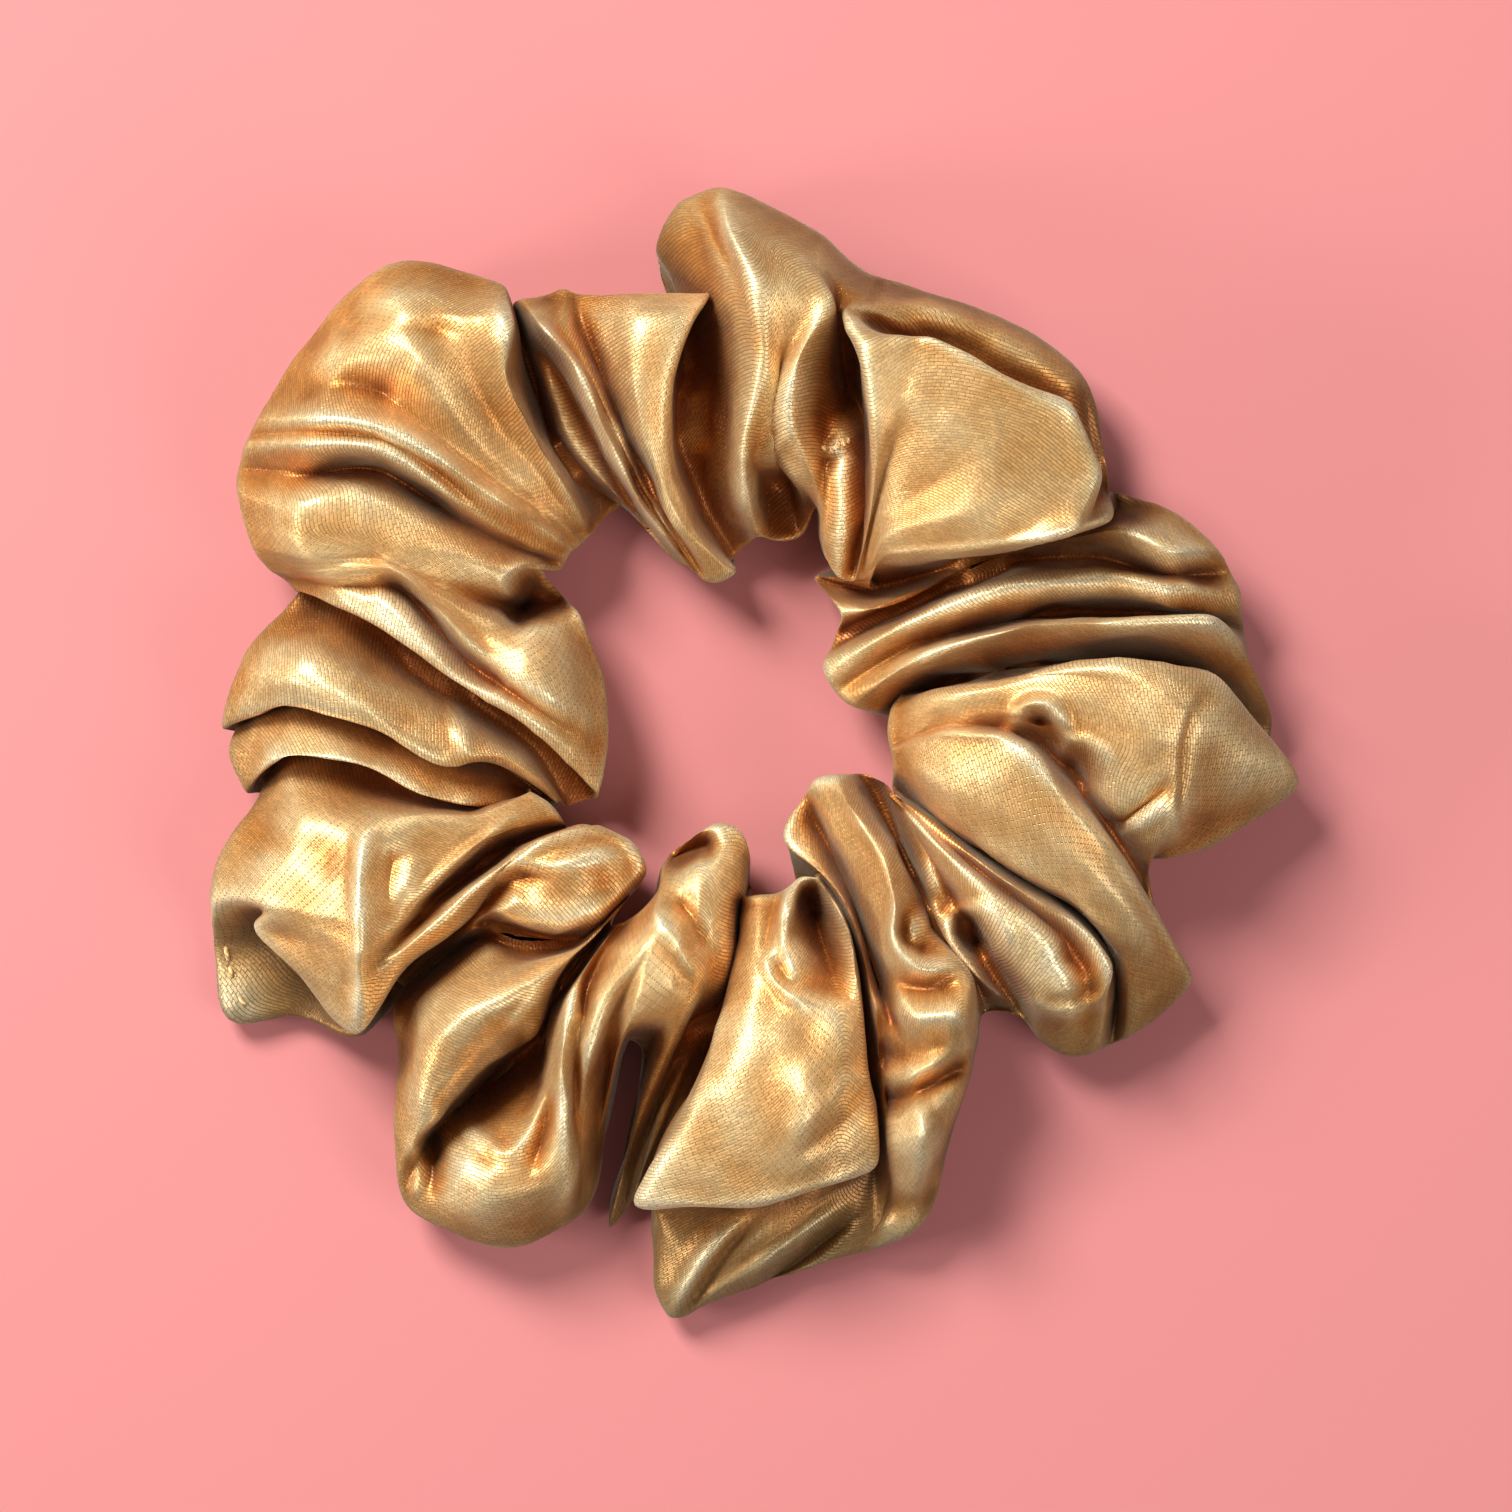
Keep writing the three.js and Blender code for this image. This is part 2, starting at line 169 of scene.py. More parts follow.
-5 17.4 7.8, -9.3 24.4 12, -12.6 31 13.8, -15.3 37.5 15.3, -17.5 43.3 15.5, -18.2 46.2 12
-5.3 17.6 8.2, -10 24.5 13.3, -13.4 31.4 15.3, -16.2 37.8 16.5, -18.5 43.2 16.5, -19 46.7 12
-5.6 17.9 8, -10.5 24.8 12.3, -14 31.8 14.2, -16.8 38 16.2, -19.5 43 16.8, -20.5 46.2 12
-6.5 18.7 8.8, -11.5 25.2 14.5, -15.1 32.5 18, -17.8 38.5 19.5, -21.2 42.5 19.5, -23.3 45.5 14
-8 19.8 6, -13 26 9.5, -16.8 33.3 11.5, -19.3 38 13, -22.3 42 14, -24.3 45.3 10
-10 22 7.5, -15 27.2 11.5, -18.7 32.3 12.8, -20.6 37 13.3, -22.6 41.3 12.5, -24.5 44.8 9
-13.5 25.2 4.5, -18 28.5 7, -21 32.8 9, -22.3 37.5 9.5, -23.7 41.5 10, -25 45 7
-16.4 21.9 8.5, -18.7 26.3 13, -22.2 32.2 17, -24.8 38 19.5, -24.2 43 20, -25.2 46.9 14
-17 21.3 9, -21 27 14.5, -25.5 33 17.5, -28.2 38.5 20.3, -28.5 43.5 20.5, -29.5 48.5 13
-17.4 21 9.5, -22.3 26.2 15, -28 31.8 18.6, -32.5 37.8 21.8, -35 43.3 21.5, -36.5 49.1 12.5
-17.8 20.7 9.5, -23.3 25.3 15, -29.8 30.2 18.5, -36 35 20, -41 38.5 19.5, -46.3 39.8 11
-18.3 20.5 10, -24 24.3 16, -31.2 29.2 20, -37.3 32.3 21.8, -43.5 33 20.5, -50 33.3 11 *
-18.6 20.2 9.6, -24.6 23.2 14.8, -31.4 28 18.4, -37.3 31.4 20.2, -43.8 32 19, -50.6 32 10
-18.9 19.8 9.4, -25.8 22.7 15.2, -31.9 27 19.2, -37.5 30.3 21.3, -43.8 30.8 20, -51 31 11
-19.2 19.3 8, -27 22.3 13, -32.8 25.8 14, -38.5 28.6 15.5, -44.5 28.2 16, -51.7 28.8 9.5
-19.7 18.8 8, -27.5 20.8 15, -33.8 24 17, -40 26.3 18.3, -45.5 25 18, -52 26.5 10
-21.5 18.9 10.5, -26.5 18.8 16, -33.5 20.8 17.5, -40.5 22 18, -46 22 17.2, -51.5 23.5 10
-21 17.6 7.5, -25 16.3 14, -32 18 17, -39 20.3 17.8, -44.5 19.8 17, -50.6 21.3 10
-19.5 16 4.5, -23 15 8.5, -29.5 15.8 15.5, -38 19.7 17.4, -44 19.3 16.8, -50.2 20.6 9.8
-17.6 13.9 9.5, -22 12.6 14.5, -28.5 14.2 16.3, -37 19.2 17.5, -43.5 18.8 16.5, -49.8 20 9.8
-15.6 9 9, -21 9.5 16.5, -28 12 16.2, -36 18.6 17.9, -43 18.2 16.3, -49.2 19.3 9.5
-14.9 3 9, -20.3 5.3 16.5, -28.3 10.9 16.6, -35 17.9 17.8, -42.3 17.6 16, -48.6 18.6 9.3
-14.9 0 8.5, -20.8 4 14.5, -28.7 9.5 13.8, -35.2 16.4 15, -41.7 17 15, -48 18.2 9
-15 -2 8.5, -21.3 3.3 14.6, -30 8.8 15.7, -36 14.8 16.5, -41 16.2 15.5, -47 17.5 9
-15.5 -4.3 8, -22.3 2.4 13.5, -30.6 7.9 14.8, -37 12.6 15.3, -41.5 14.8 14, -46 16.5 9
-16.3 -4.6 5, -21.5 4.3 7.5, -29.5 9.6 9, -35.5 14 9, -40.5 16.3 9, -45.5 17.5 6.5
-18.6 -5.3 4.5, -22.5 0.8 6.5, -31 6.5 9, -36.5 10 10, -42 13.3 11, -47 15.2 7.5
-19.3 -5 6.5, -23.3 -0.1 10.5, -31 3.2 12.8, -38 7.3 15, -44.5 9.8 16, -50.8 11 8
-19.6 -4.7 7, -25 -0.3 11.8, -31.5 0.6 13.8, -39 5 17, -46 7.3 16, -53 6.5 8 *
-19.8 -5 6.8, -26.5 -0.6 11.5, -31 -1 12.8, -38.5 2.8 15.2, -46 4.9 14, -53.7 2.6 7
-20 -4.9 4, -25 -1.2 6.5, -31 1.8 9, -38 5.3 9.5, -45 7 8, -51 5 4.5
-20.8 -4.2 4.3, -27.8 -2.2 9.5, -32.5 -1 12, -39.5 2 13, -46.3 3.7 12, -53.3 0.5 6
-21 -4.2 4.3, -28.6 -4.9 11.5, -33.2 -4 13, -39.5 -0.9 14.2, -47 -0.3 13, -51.3 -3.9 6
-21.4 -4.2 4, -28.5 -3.8 8, -33 -2.2 9.2, -39.5 1 8.5, -46.5 1.2 7.5, -50 -2.5 4
-22.4 -3.7 6.5, -28.5 -5.1 9.5, -33.5 -4.4 11, -40 -3.3 11.5, -46.5 -2.4 11.5, -50.3 -4.6 6.5
-22.5 -3.3 9, -28 -6 12.5, -33.8 -6 14.8, -39 -7.3 16, -45.5 -6.5 15, -52.3 -7.3 8
-20.7 -4.4 9, -27.6 -7.3 13.3, -33.5 -8.8 15.3, -39.2 -11.5 17.8, -46.5 -11 16, -54.4 -10.8 8
-19.7 -5.7 8.5, -26.8 -8.2 13, -33 -11.8 15.8, -39.2 -16 18.5, -46.5 -15 15.5, -54.8 -14.2 8
-19.3 -6.4 8, -25.8 -7.7 12.3, -32.3 -13.3 15, -39.2 -19.5 17.8, -45 -18 14.5, -50.3 -17 9.5,
    -47.5 -16 5.5, -55 -20 3
-18.8 -7 5.5, -24.8 -9.3 9, -31.8 -14.6 12.8, -39.2 -21.5 16.5, -43 -22.3 14, -46 -21.4 10.5,
    -44 -19.5 5.5, -53.3 -26.5 3
"""

# Where each of a line's points falls on the way from the inner to the outer rim.
SHARES = {
    6: (0, 0.2, 0.4, 0.6, 0.8, 1),
    7: (0, 0.2, 0.4, 0.6, 0.73, 0.87, 1),
    8: (0, 0.2, 0.4, 0.57, 0.71, 0.82, 0.91, 1),
    9: (0, 0.17, 0.34, 0.5, 0.63, 0.72, 0.77, 0.88, 1),
}
TOP_STEPS = 130  # mesh rows over the top of the sleeve
FOOT_STEPS = 40  # mesh rows under it
CLOTH_STEP = 0.45  # the mesh's columns are about this far apart, in millimetres
CRISPNESS = 0.42  # how far the satin bends in a line at a fold line, from 0, round, to 1, sharp
LENGTHWISE_CRISPNESS = 0.2  # the same at the points along a fold line
SOFTENING = 3  # passes of smoothing, which round the creases off
REACH, REACH_FADE = 1.7, 3  # satin this near to the elastic is moved off it, fading out over the next
ELASTIC_CLEARANCE = 0.7  # between the satin and the elastic's edges
TABLE_CLEARANCE = 0.08  # between the satin and the table
DENT, RIDGE, WRINKLE = 7, 8, 2.6  # how far apart the crumpled satin's dents, ridges and wrinkles are
MAP_CELL, MAP_REACH = 0.5, 75.0  # of the map of the sleeve's top, in millimetres

# Where the sleeve's foot runs, under it, from the outer rim back to the inner one: how far its first
# and last points stand in from the rims, their heights as shares of the rims', the shares of the way
# across of the points between them, and where all six fall on the way round.
FOOT_INSETS, FOOT_HEIGHTS = (1.2, 1.0), (0.4, 0.45)
FOOT_ACROSS = (0.12, 0.35, 0.62, 0.86)
FOOT_SHARES = (1.07, 1.2, 1.42, 1.63, 1.83, 1.94)

# Creases and ridges within the folds. Each row gives the first and last fold line between which the
# cloth is pressed, the height (below zero for a crease), the half width in millimetres, and the
# line's points as x y. If the first is after the last, the line crosses the closing seam.
STROKE_STRENGTH = 1.45  # millimetres pressed for each unit of height
STROKE_FADE = 0.4  # a stroke fades in and out over this much of a step between fold lines
STROKES = """
20 24 -4.5 1.7: -9 -10.6, -7.3 -9.8, -5.4 -9, -3.9 -8.8
92 99 -1 4: -42 42, -36 42.8, -29 41.5
91 96 1 1.2: -25.6 46.3, -24.4 42, -24.3 38, -22 32, -18.6 26, -16.6 22.3
93 98 -1.1 3: -46 36, -40 36.8, -35 35.5
93 99 0.9 1.4: -50 32.8, -46 33.2, -40 32.9, -37 32.2, -34 31, -31 29, -29 27, -27 25.5,
    -24 24.3, -20 23.8
98 101 0.8 1.2: -49.5 31, -40 30.9, -36.5 30.3, -34 29, -31.5 26.7, -29.5 24.5, -27.5 22.8
98 103 -1.8 1.4: -46 27.2, -43 28.3, -40 28.8, -37 28.6, -35 27.3, -33 25.8, -31 24.3, -29.5 23.3
101 110 -1.6 1.5: -37.5 18, -36 17.5, -34 15.5, -32 13, -30.5 11, -28.5 8.8, -26 7
101 110 1 1.1: -38 18, -36.5 19, -34.5 17.5, -32 15, -29 12, -27 9.5
104 112 0.9 1.1: -38.5 17.5, -36 15, -33.5 12.5, -30 8.3
100 107 -3.4 2: -24.3 12.6, -23.5 15, -22.8 17, -22 18
100 105 1.1 1.1: -25 14.6, -24.5 17.5, -23.3 19.3, -21.7 19.2, -21 18
104 112 0.9 1.1: -45.5 16.5, -41 14.8, -38 13, -35 11.5, -32 9.5, -30 7.5, -27 6.3, -24 4.5,
    -21 2, -18 -0.5
110 115 0.9 1.3: -32.5 8.3, -30.5 5.5, -29.5 2.5, -28.5 0
113 118 0.7 1: -53.5 2.3, -51 2.2, -49 4.3, -47.5 5, -44 5, -40 3.5, -36.5 2, -33 0, -29 -1.8
116 120 0.7 1: -50 -3.5, -49.5 -1.5, -48.5 -0.2, -41 -0.4, -37 -1.5, -34.5 -3, -32 -4.8,
    -30.5 -5.5, -28 -4
121 1 1.4 1.5: -37.5 -5.5, -38.8 -8, -39.2 -12, -39 -17, -39.2 -22, -39.5 -28
121 1 -1.2 2.4: -36 -9, -36.6 -13, -36.4 -17
121 1 0.9 1.1: -34 -14.5, -31 -11.5, -28 -9, -24 -6
121 1 0.9 1.1: -34 -16, -30 -14, -26 -11.5, -23.5 -9.5, -20 -7.4
121 1 -1.1 1.2: -34 -15.2, -30.5 -12.7, -27 -10.2, -23 -7.6
118 124 -0.7 5: -52 -7, -46 -9.5, -41 -10
118 124 0.7 4: -50 -14.5, -44 -19.5, -41 -23
2 7 0.9 1: -24 -10, -20 -7.5, -17 -7.2, -13 -8.8, -11.6 -10.4, -11.6 -11.8, -12.8 -13.5,
    -15 -16.2, -19.5 -19.3
3 6 0.9 1: -24 -10.9, -20 -10.9, -14 -9.6
3 6 -0.9 1: -24 -12, -20 -12.2, -14.5 -11
5 9 -3 1.6: -28 -16, -24 -18.3, -19.5 -18.3
8 12 0.8 1.2: -34.5 -35, -31 -33, -28 -30.5, -24 -26.5, -20.5 -22
11 14 1.3 1.3: -34.5 -38, -33.6 -41, -34.3 -44.5
11 14 -1.6 1.5: -33 -37.5, -31.8 -40.5, -32.2 -44
12 16 1.3 1.3: -30 -37, -27.5 -38, -25 -39.7
13 18 1.2 1.3: -24.5 -40, -22.8 -37.5, -21 -33, -20.6 -30
14 18 -1.3 1.4: -22.5 -41.5, -20.8 -37.5, -19.6 -33
16 20 0.8 1.2: -19.5 -22.5, -17.5 -26.5, -17 -31, -17.6 -35
19 24 1.1 1.4: -10.5 -14.5, -8.4 -17.5, -6.7 -20.5, -4.6 -22.6
19 24 -1.2 1.8: -8 -14, -6 -16.5, -5 -19.5
24 27 -2.5 1.2: -2 -13.6, -1.8 -16, -1.6 -19
2 7 -1.5 3.2: -24.5 -13.3, -20 -13.6, -16 -13.2, -13.6 -12.2
8 14 -4 4.2: -32 -36.5, -28.5 -34, -25 -30.5, -22.6 -26.5
28 33 -0.45 0.8: 11 -32.7, 9.5 -35.3, 7.5 -37.3, 5 -39.2, 2.5 -40.4
28 33 0.5 2.4: 10 -30.5, 8 -33.7, 6 -35.5, 2.4 -37.7
28 34 0.9 0.9: 3.5 -13.5, 2.2 -17, 1.8 -19.5, 1 -20.8, 2 -22.5, 3 -23.5, 6 -24.3, 10 -25
28 34 -1 1.2: 4.5 -14.5, 3.5 -17.5, 3.2 -20, 2.8 -21.5, 4 -22.6, 6.5 -23.3, 10 -24
27 33 1 1.6: -2 -46.2, -5 -50, -8.8 -56
27 32 -1.1 1: -0.5 -46.8, -3.5 -50.3, -7 -56.2
29 36 1.1 1.3: -5.5 -54.8, -1.5 -52.3, 3.5 -48.8, 8.5 -45.3
29 36 -1.7 1.5: -3.5 -55.4, 0 -53.9, 5 -50.3, 10.3 -46.2
27 33 0.7 1: -12.3 -44.8, -8 -44.8, -5 -45.2, 1 -44.5, 7 -43, 11.8 -41
30 33 -2 2: 5 -13.3, 5.8 -14.8, 6.4 -16.6
29 34 1.4 1.1: 2.6 -17, 3.3 -14.5, 4.3 -12.6, 5.8 -11.7, 7.3 -12.7, 8.6 -15.3, 9.5 -17.4, 9.3 -19.3
35 40 -1.4 1.3: 4.8 -4.5, 6.5 -7.5, 8 -11, 10 -17, 12.3 -23.5
37 41 1.1 1.2: 7.5 -2, 10 -6, 12.7 -9.5, 13.6 -12.5, 13.7 -16
36 41 1.9 1.2: 16 -13.8, 14.5 -14.2, 13.7 -15.5, 13.4 -17.8, 14.4 -19.6, 16.2 -20.9,
    18.8 -20.8, 20.8 -20.3
36 41 -1.9 1: 15.6 -15, 14.8 -15.7, 14.5 -17, 14.7 -18.3, 15.7 -19.4, 17.5 -19.6
34 40 -1.3 1.9: 12 -20.5, 14 -22.6, 17 -23.1, 20.5 -22.7
39 42 -1.6 1.3: 12 -1.5, 13 -5, 15 -10.5, 18.3 -15, 18.8 -19.8
37 41 1.3 1.9: 15.9 -15.8, 16.6 -17.4
34 40 1.4 2.5: 10.6 -24.2, 12.8 -24.9, 15.5 -26, 18.8 -25.6, 21.6 -26
34 39 -1.1 2.4: 11 -30, 15 -30, 19.5 -28.5
34 40 -2.6 1.9: 11.5 -34.8, 14.5 -34.2, 17 -33, 19.5 -31.5, 21 -30
34 39 1.4 3.6: 12.5 -38.5, 15.5 -38, 18.5 -36.5
34 38 -1.2 3: 12 -45, 15.5 -44.8, 18.5 -43.5
45 50 1 1: 20.5 -9, 24 -12, 28 -14.3, 31 -16, 33.5 -18, 35.3 -22, 34.5 -24.5, 32 -26
44 48 -1.8 1.5: 22 -14.5, 25.5 -17.3, 29 -19.2, 32 -21
41 45 0.9 1: 18.3 -17, 19 -18.8, 20.5 -20.5, 23.5 -23.8, 25 -25
41 46 -4 1.7: 20.6 -16.6, 21.5 -17.8, 22.4 -19.3
41 46 1.5 1.1: 19.3 -20, 19 -17.5, 20.3 -15.3, 22.3 -15, 24.3 -16.8, 25.8 -19.5
42 47 1 1.2: 26.5 -24, 29 -25.5, 32 -25.5, 34.5 -24
50 56 1.6 1.3: 13.2 0.3, 15.5 -0.5, 17 0.5, 19 2, 25 2.2, 26 3.5, 26.3 4.8, 27.5 5.3, 29 5,
    30 3.5, 31 1.5, 32.5 0.3
52 58 -2.6 1.8: 27.8 4.2, 28.1 3, 28.6 1.2
51 58 -2 2.6: 30.8 -0.6, 32.2 -1.4, 33.3 -3.3
51 58 0.9 1.2: 29.6 -1, 30.6 1.2, 32.5 1.6, 34 0.4, 35 -1.5
51 58 -1.3 1: 35.2 -7.3, 37 -6, 39 -4.4, 41 -3
51 58 0.7 1: 36 -8, 38 -6.6, 41 -4.4
53 58 -0.7 0.75: 45.8 7.5, 44.5 6, 43 3.5, 42.3 1, 42.2 -3, 41 -10
48 52 0.7 1.1: 18 2, 24.5 2, 26 1, 28 -1, 30.5 -4, 33 -6.8, 35.5 -9.5, 39.5 -15.5, 44 -22.5
57 61 -2.5 1.3: 17 7.6, 20.5 8.3, 23 8.2, 26 8.9
58 62 0.9 1: 14 9, 20 11.2, 24 12, 27 13, 38 13, 46 13.5, 48.8 11.5
60 64 -2.2 1.3: 27 13.4, 28 14.6, 30 15.2, 35 14.4, 41 13.5
61 65 1 1.2: 26.5 15.7, 29 16.6, 35 16.3, 40 15.3
62 66 0.9 1: 14.5 13.2, 18 14.8, 26 17.3, 34.5 18.3, 39 17.5
62 67 0.9 1.2: 35 23.3, 39.5 21, 43.5 16.5, 48.5 14.5
66 69 0.6 0.9: 11.8 19.9, 20 20.2, 28 21.2, 35 23.5
66 77 0.6 1: 8 44.6, 12 44.2, 15 42.7, 18 40.7, 21 39.2, 24 37.5, 28.5 34.9, 34 34
72 76 0.8 1: 11.8 19, 11.3 33, 10.8 37, 8.4 43.8
74 77 -1.6 1.4: 9.2 35, 9.4 38, 9 41
74 78 0.9 0.9: 6.7 30.3, 9 31, 11 32.3
74 78 -0.9 0.8: 6.6 29.2, 9 29.9, 11 31
76 81 0.9 1.1: 8 44.7, 5.5 42, 4 38, 3.3 35, 3 32, 1.5 30, -0.5 29.5
80 84 1 1: -6.3 55.8, -3.8 49.5, -0.5 44.5, 0.2 41, -0.5 33, -1.3 27.5, 0 22.3
84 87 0.8 0.9: -4.9 44.8, -6 42.5, -8 39, -8.7 35.5, -8.7 32, -6.8 26, -6.3 24
85 90 -1.3 1.2: -18.5 45.5, -16.5 41, -14.5 36, -12.5 31, -9.5 25.5
86 91 0.9 1: -17 43, -15 38.5, -13.5 34.5, -11.2 29.8, -8.6 24.8
88 92 0.9 1.1: -22.5 43.3, -20 41.5, -17.5 39, -16 36, -15 32.5, -12 26, -8 21, -6.5 19.5
"""


def rows_of(table):
    return table.strip().replace(",\n", ",").splitlines()


def points_of(text):
    return np.array([[float(n) for n in point.split()] for point in text.split(",")])


def read_fold_lines():
    """Returns the fold lines as lists of points, and the numbers of those that divide gathers."""
    rows = rows_of(FOLD_LINES)
    dividers = [k for k, row in enumerate(rows) if row.endswith("*")]
    return [points_of(row.rstrip("*")) for row in rows], dividers


def catmull_rom(p0, p1, p2, p3, t):
    """Points at shares t of the centripetal curve from p1 to p2. t's shape broadcasts."""

    def knot(a, b):
        return np.sqrt(np.linalg.norm(b - a, axis=-1, keepdims=True)) + 1e-6

    t1 = knot(p0, p1)
    t2 = t1 + knot(p1, p2)
    t3 = t2 + knot(p2, p3)
    s = t1 + (t2 - t1) * t
    a1 = (t1 - s) / t1 * p0 + s / t1 * p1
    a2 = (t2 - s) / (t2 - t1) * p1 + (s - t1) / (t2 - t1) * p2
    a3 = (t3 - s) / (t3 - t2) * p2 + (s - t2) / (t3 - t2) * p3
    b1 = (t2 - s) / t2 * a1 + s / t2 * a2
    b2 = (t3 - s) / (t3 - t1) * a2 + (s - t1) / (t3 - t1) * a3
    return (t2 - s) / (t2 - t1) * b1 + (s - t1) / (t2 - t1) * b2


def cross_section(line):
    """The closed section of the sleeve along one fold line, as TOP_STEPS + FOOT_STEPS points."""
    inner, outer = line[0], line[-1]
    lift = np.interp(line[2][2], (9, 14), (2.1, 0.35))  # tucked-under cloth stays off the table
    inward = (inner - outer)[:2] / np.linalg.norm((inner - outer)[:2])
    foot = [np.append(outer[:2] + inward * FOOT_INSETS[0], outer[2] * FOOT_HEIGHTS[0])]
    for share in FOOT_ACROSS:
        foot.append(np.append(outer[:2] + (inner - outer)[:2] * share, lift))
    foot.append(np.append(inner[:2] - inward * FOOT_INSETS[1], inner[2] * FOOT_HEIGHTS[1]))
    points = np.vstack([line, foot])
    at = np.concatenate([SHARES[len(line)], FOOT_SHARES, [2]])
    top, under = np.arange(TOP_STEPS) / TOP_STEPS, 1 + np.arange(FOOT_STEPS) / FOOT_STEPS
    wanted = np.concatenate([top, under])
    i = np.searchsorted(at, wanted, side="right") - 1
    t = ((wanted - at[i]) / (at[i + 1] - at[i]))[:, None]
    n = len(points)
    a, b = points[i], points[(i + 1) % n]
    curve = catmull_rom(points[(i - 1) % n], a, b, points[(i + 2) % n], t)
    return curve + (a + (b - a) * t - curve) * LENGTHWISE_CRISPNESS


def sleeve_grid():
    """The whole sleeve as a grid of points, and for each of its columns the fold line's number plus
    the share of the way to the next, and the place on the loop: the gather's number plus the share
    of the way to the next one."""
    lines, dividers = read_fold_lines()
    sections = np.array([cross_section(line) for line in lines])
    count = len(lines)
    columns, numbers, places = [], [], []
    # The rims and the foot run smoothly from fold to fold.
    rows = np.arange(TOP_STEPS + FOOT_STEPS) / TOP_STEPS
    crispness = CRISPNESS * np.interp(rows, (0, 0.06, 0.85, 0.97), (0.2, 1, 1, 0))[:, None]
    bounds = dividers + [count]
    for g, (first, last) in enumerate(zip(bounds, bounds[1:])):
        total = 0
        for k in range(first, last):
            p0, p1, p2, p3 = (sections[(k + o) % count] for o in (-1, 0, 1, 2))
            widest = np.quantile(np.linalg.norm(p2 - p1, axis=1), 0.8)
            n = int(np.clip(round(widest / CLOTH_STEP), 4, 24))
            t = np.arange(n) / n
            across = t[:, None, None]
            straight = p1 + (p2 - p1) * across
            curve = catmull_rom(p0, p1, p2, p3, across)
            columns.append(curve + (straight - curve) * crispness)
            numbers.append(k + t)
            total += n
        places.append(g + np.arange(total) / total)
    return np.concatenate(columns), np.concatenate(numbers), np.concatenate(places)


def smoothed(values, along, around):
    """The values averaged with their neighbours, so many times round the loop and round the tube."""
    for axis, times in enumerate((along, around)):
        for _ in range(times):
            values = (np.roll(values, 1, axis) + 2 * values + np.roll(values, -1, axis)) / 4
    return values


def normals_of(grid):
    """The outward unit normals of the grid's points."""
    along = np.roll(grid, -1, 0) - np.roll(grid, 1, 0)
    around = np.roll(grid, -1, 1) - np.roll(grid, 1, 1)
    normals = smoothed(np.cross(around, along), 1, 1)
    return normals / (np.linalg.norm(normals, axis=-1, keepdims=True) + 1e-9)


def cloth_coordinates(grid):
    """How far each point is along and across the cloth, in millimetres."""
    stepping = np.linalg.norm(np.roll(grid, -1, 0) - grid, axis=-1)
    u = np.concatenate([[0], np.cumsum(np.quantile(stepping, 0.7, axis=1))])
    around = np.linalg.norm(np.roll(grid, -1, 1) - grid, axis=-1)
    v = np.concatenate([np.zeros((len(grid), 1)), np.cumsum(around, axis=1)], axis=1)
    return u, smoothed(v, 30, 0)


def stroke_profile(points, path, half_width):
    """1 on the path, falling to 0 at half_width from it and towards its two ends."""
    best = np.full(len(points), np.inf)
    at = np.zeros(len(points))
    lengths = np.linalg.norm(np.diff(path, axis=0), axis=1)
    before = np.concatenate([[0], np.cumsum(lengths)]) / lengths.sum()
    for a, b, start, end in zip(path, path[1:], before, before[1:]):
        t = np.clip((points - a) @ (b - a) / ((b - a) @ (b - a)), 0, 1)
        away = np.linalg.norm(points - a - t[:, None] * (b - a), axis=1)
        nearer = away < best
        best[nearer] = away[nearer]
        at[nearer] = (start + (end - start) * t)[nearer]
    taper = np.clip(np.minimum(at, 1 - at) / 0.2, 0.15, 1)
    return np.clip(1 - best / half_width, 0, 1) ** 1.5 * np.sin(taper * math.pi / 2)


def press_strokes(grid, numbers):
    """Presses the creases and ridges into the top of the sleeve."""
    for row in rows_of(STROKES):
        settings, path = row.split(":")
        first, last, height, half_width = (float(n) for n in settings.split())
        after, before = numbers >= first, numbers <= last
        crosses_seam = first > last
        cols = np.flatnonzero(after | before if crosses_seam else after & before)
        plan = grid[cols, :TOP_STEPS, :2]
        near = stroke_profile(plan.reshape(-1, 2), points_of(path), half_width)
        near = near.reshape(plan.shape[:2])
        if not crosses_seam:
            into = np.minimum(numbers[cols] - first, last - numbers[cols])
            near *= np.clip(into[:, None] / STROKE_FADE, 0, 1)
        grid[cols, :TOP_STEPS, 2] += height * STROKE_STRENGTH * near


def crumple(grid):
    """The soft dents and fine wrinkles of satin that has been handled."""
    normals = normals_of(grid)
    offsets = np.zeros(grid.shape[:2])
    for i in range(len(grid)):
        for j in range(grid.shape[1]):
            x, y, z = grid[i, j]
            broad = noise.noise((x / DENT, y / DENT, z / DENT))
            ridge = 1 - abs(noise.noise((x / RIDGE + 9, y / RIDGE, z / RIDGE)) * 3)
            fine = noise.noise((x / WRINKLE, y / WRINKLE + 40, z / WRINKLE))
            offsets[i, j] = 0.5 * broad + 0.12 * max(ridge, 0) ** 2 + 0.05 * fine
    grid += normals * offsets[..., None]


def clear_elastic(grid):
    """Moves satin off the elastic, up on the top side and down on the foot side."""
    away = np.abs(np.hypot(grid[..., 0] - LOOP_X, grid[..., 1] - LOOP_Y) - LOOP_R)
    near = np.clip(1 - (away - REACH) / REACH_FADE, 0, 1)
    top = np.arange(grid.shape[1]) < TOP_STEPS
    lowest_over = ELASTIC_TOP + ELASTIC_CLEARANCE
    highest_under = ELASTIC_FOOT - ELASTIC_CLEARANCE
    z = grid[..., 2]
    up = np.where(top, np.clip(lowest_over - z, 0, None), np.clip(highest_under - z, None, 0))
    grid[..., 2] = np.clip(z + up * near, TABLE_CLEARANCE, None)


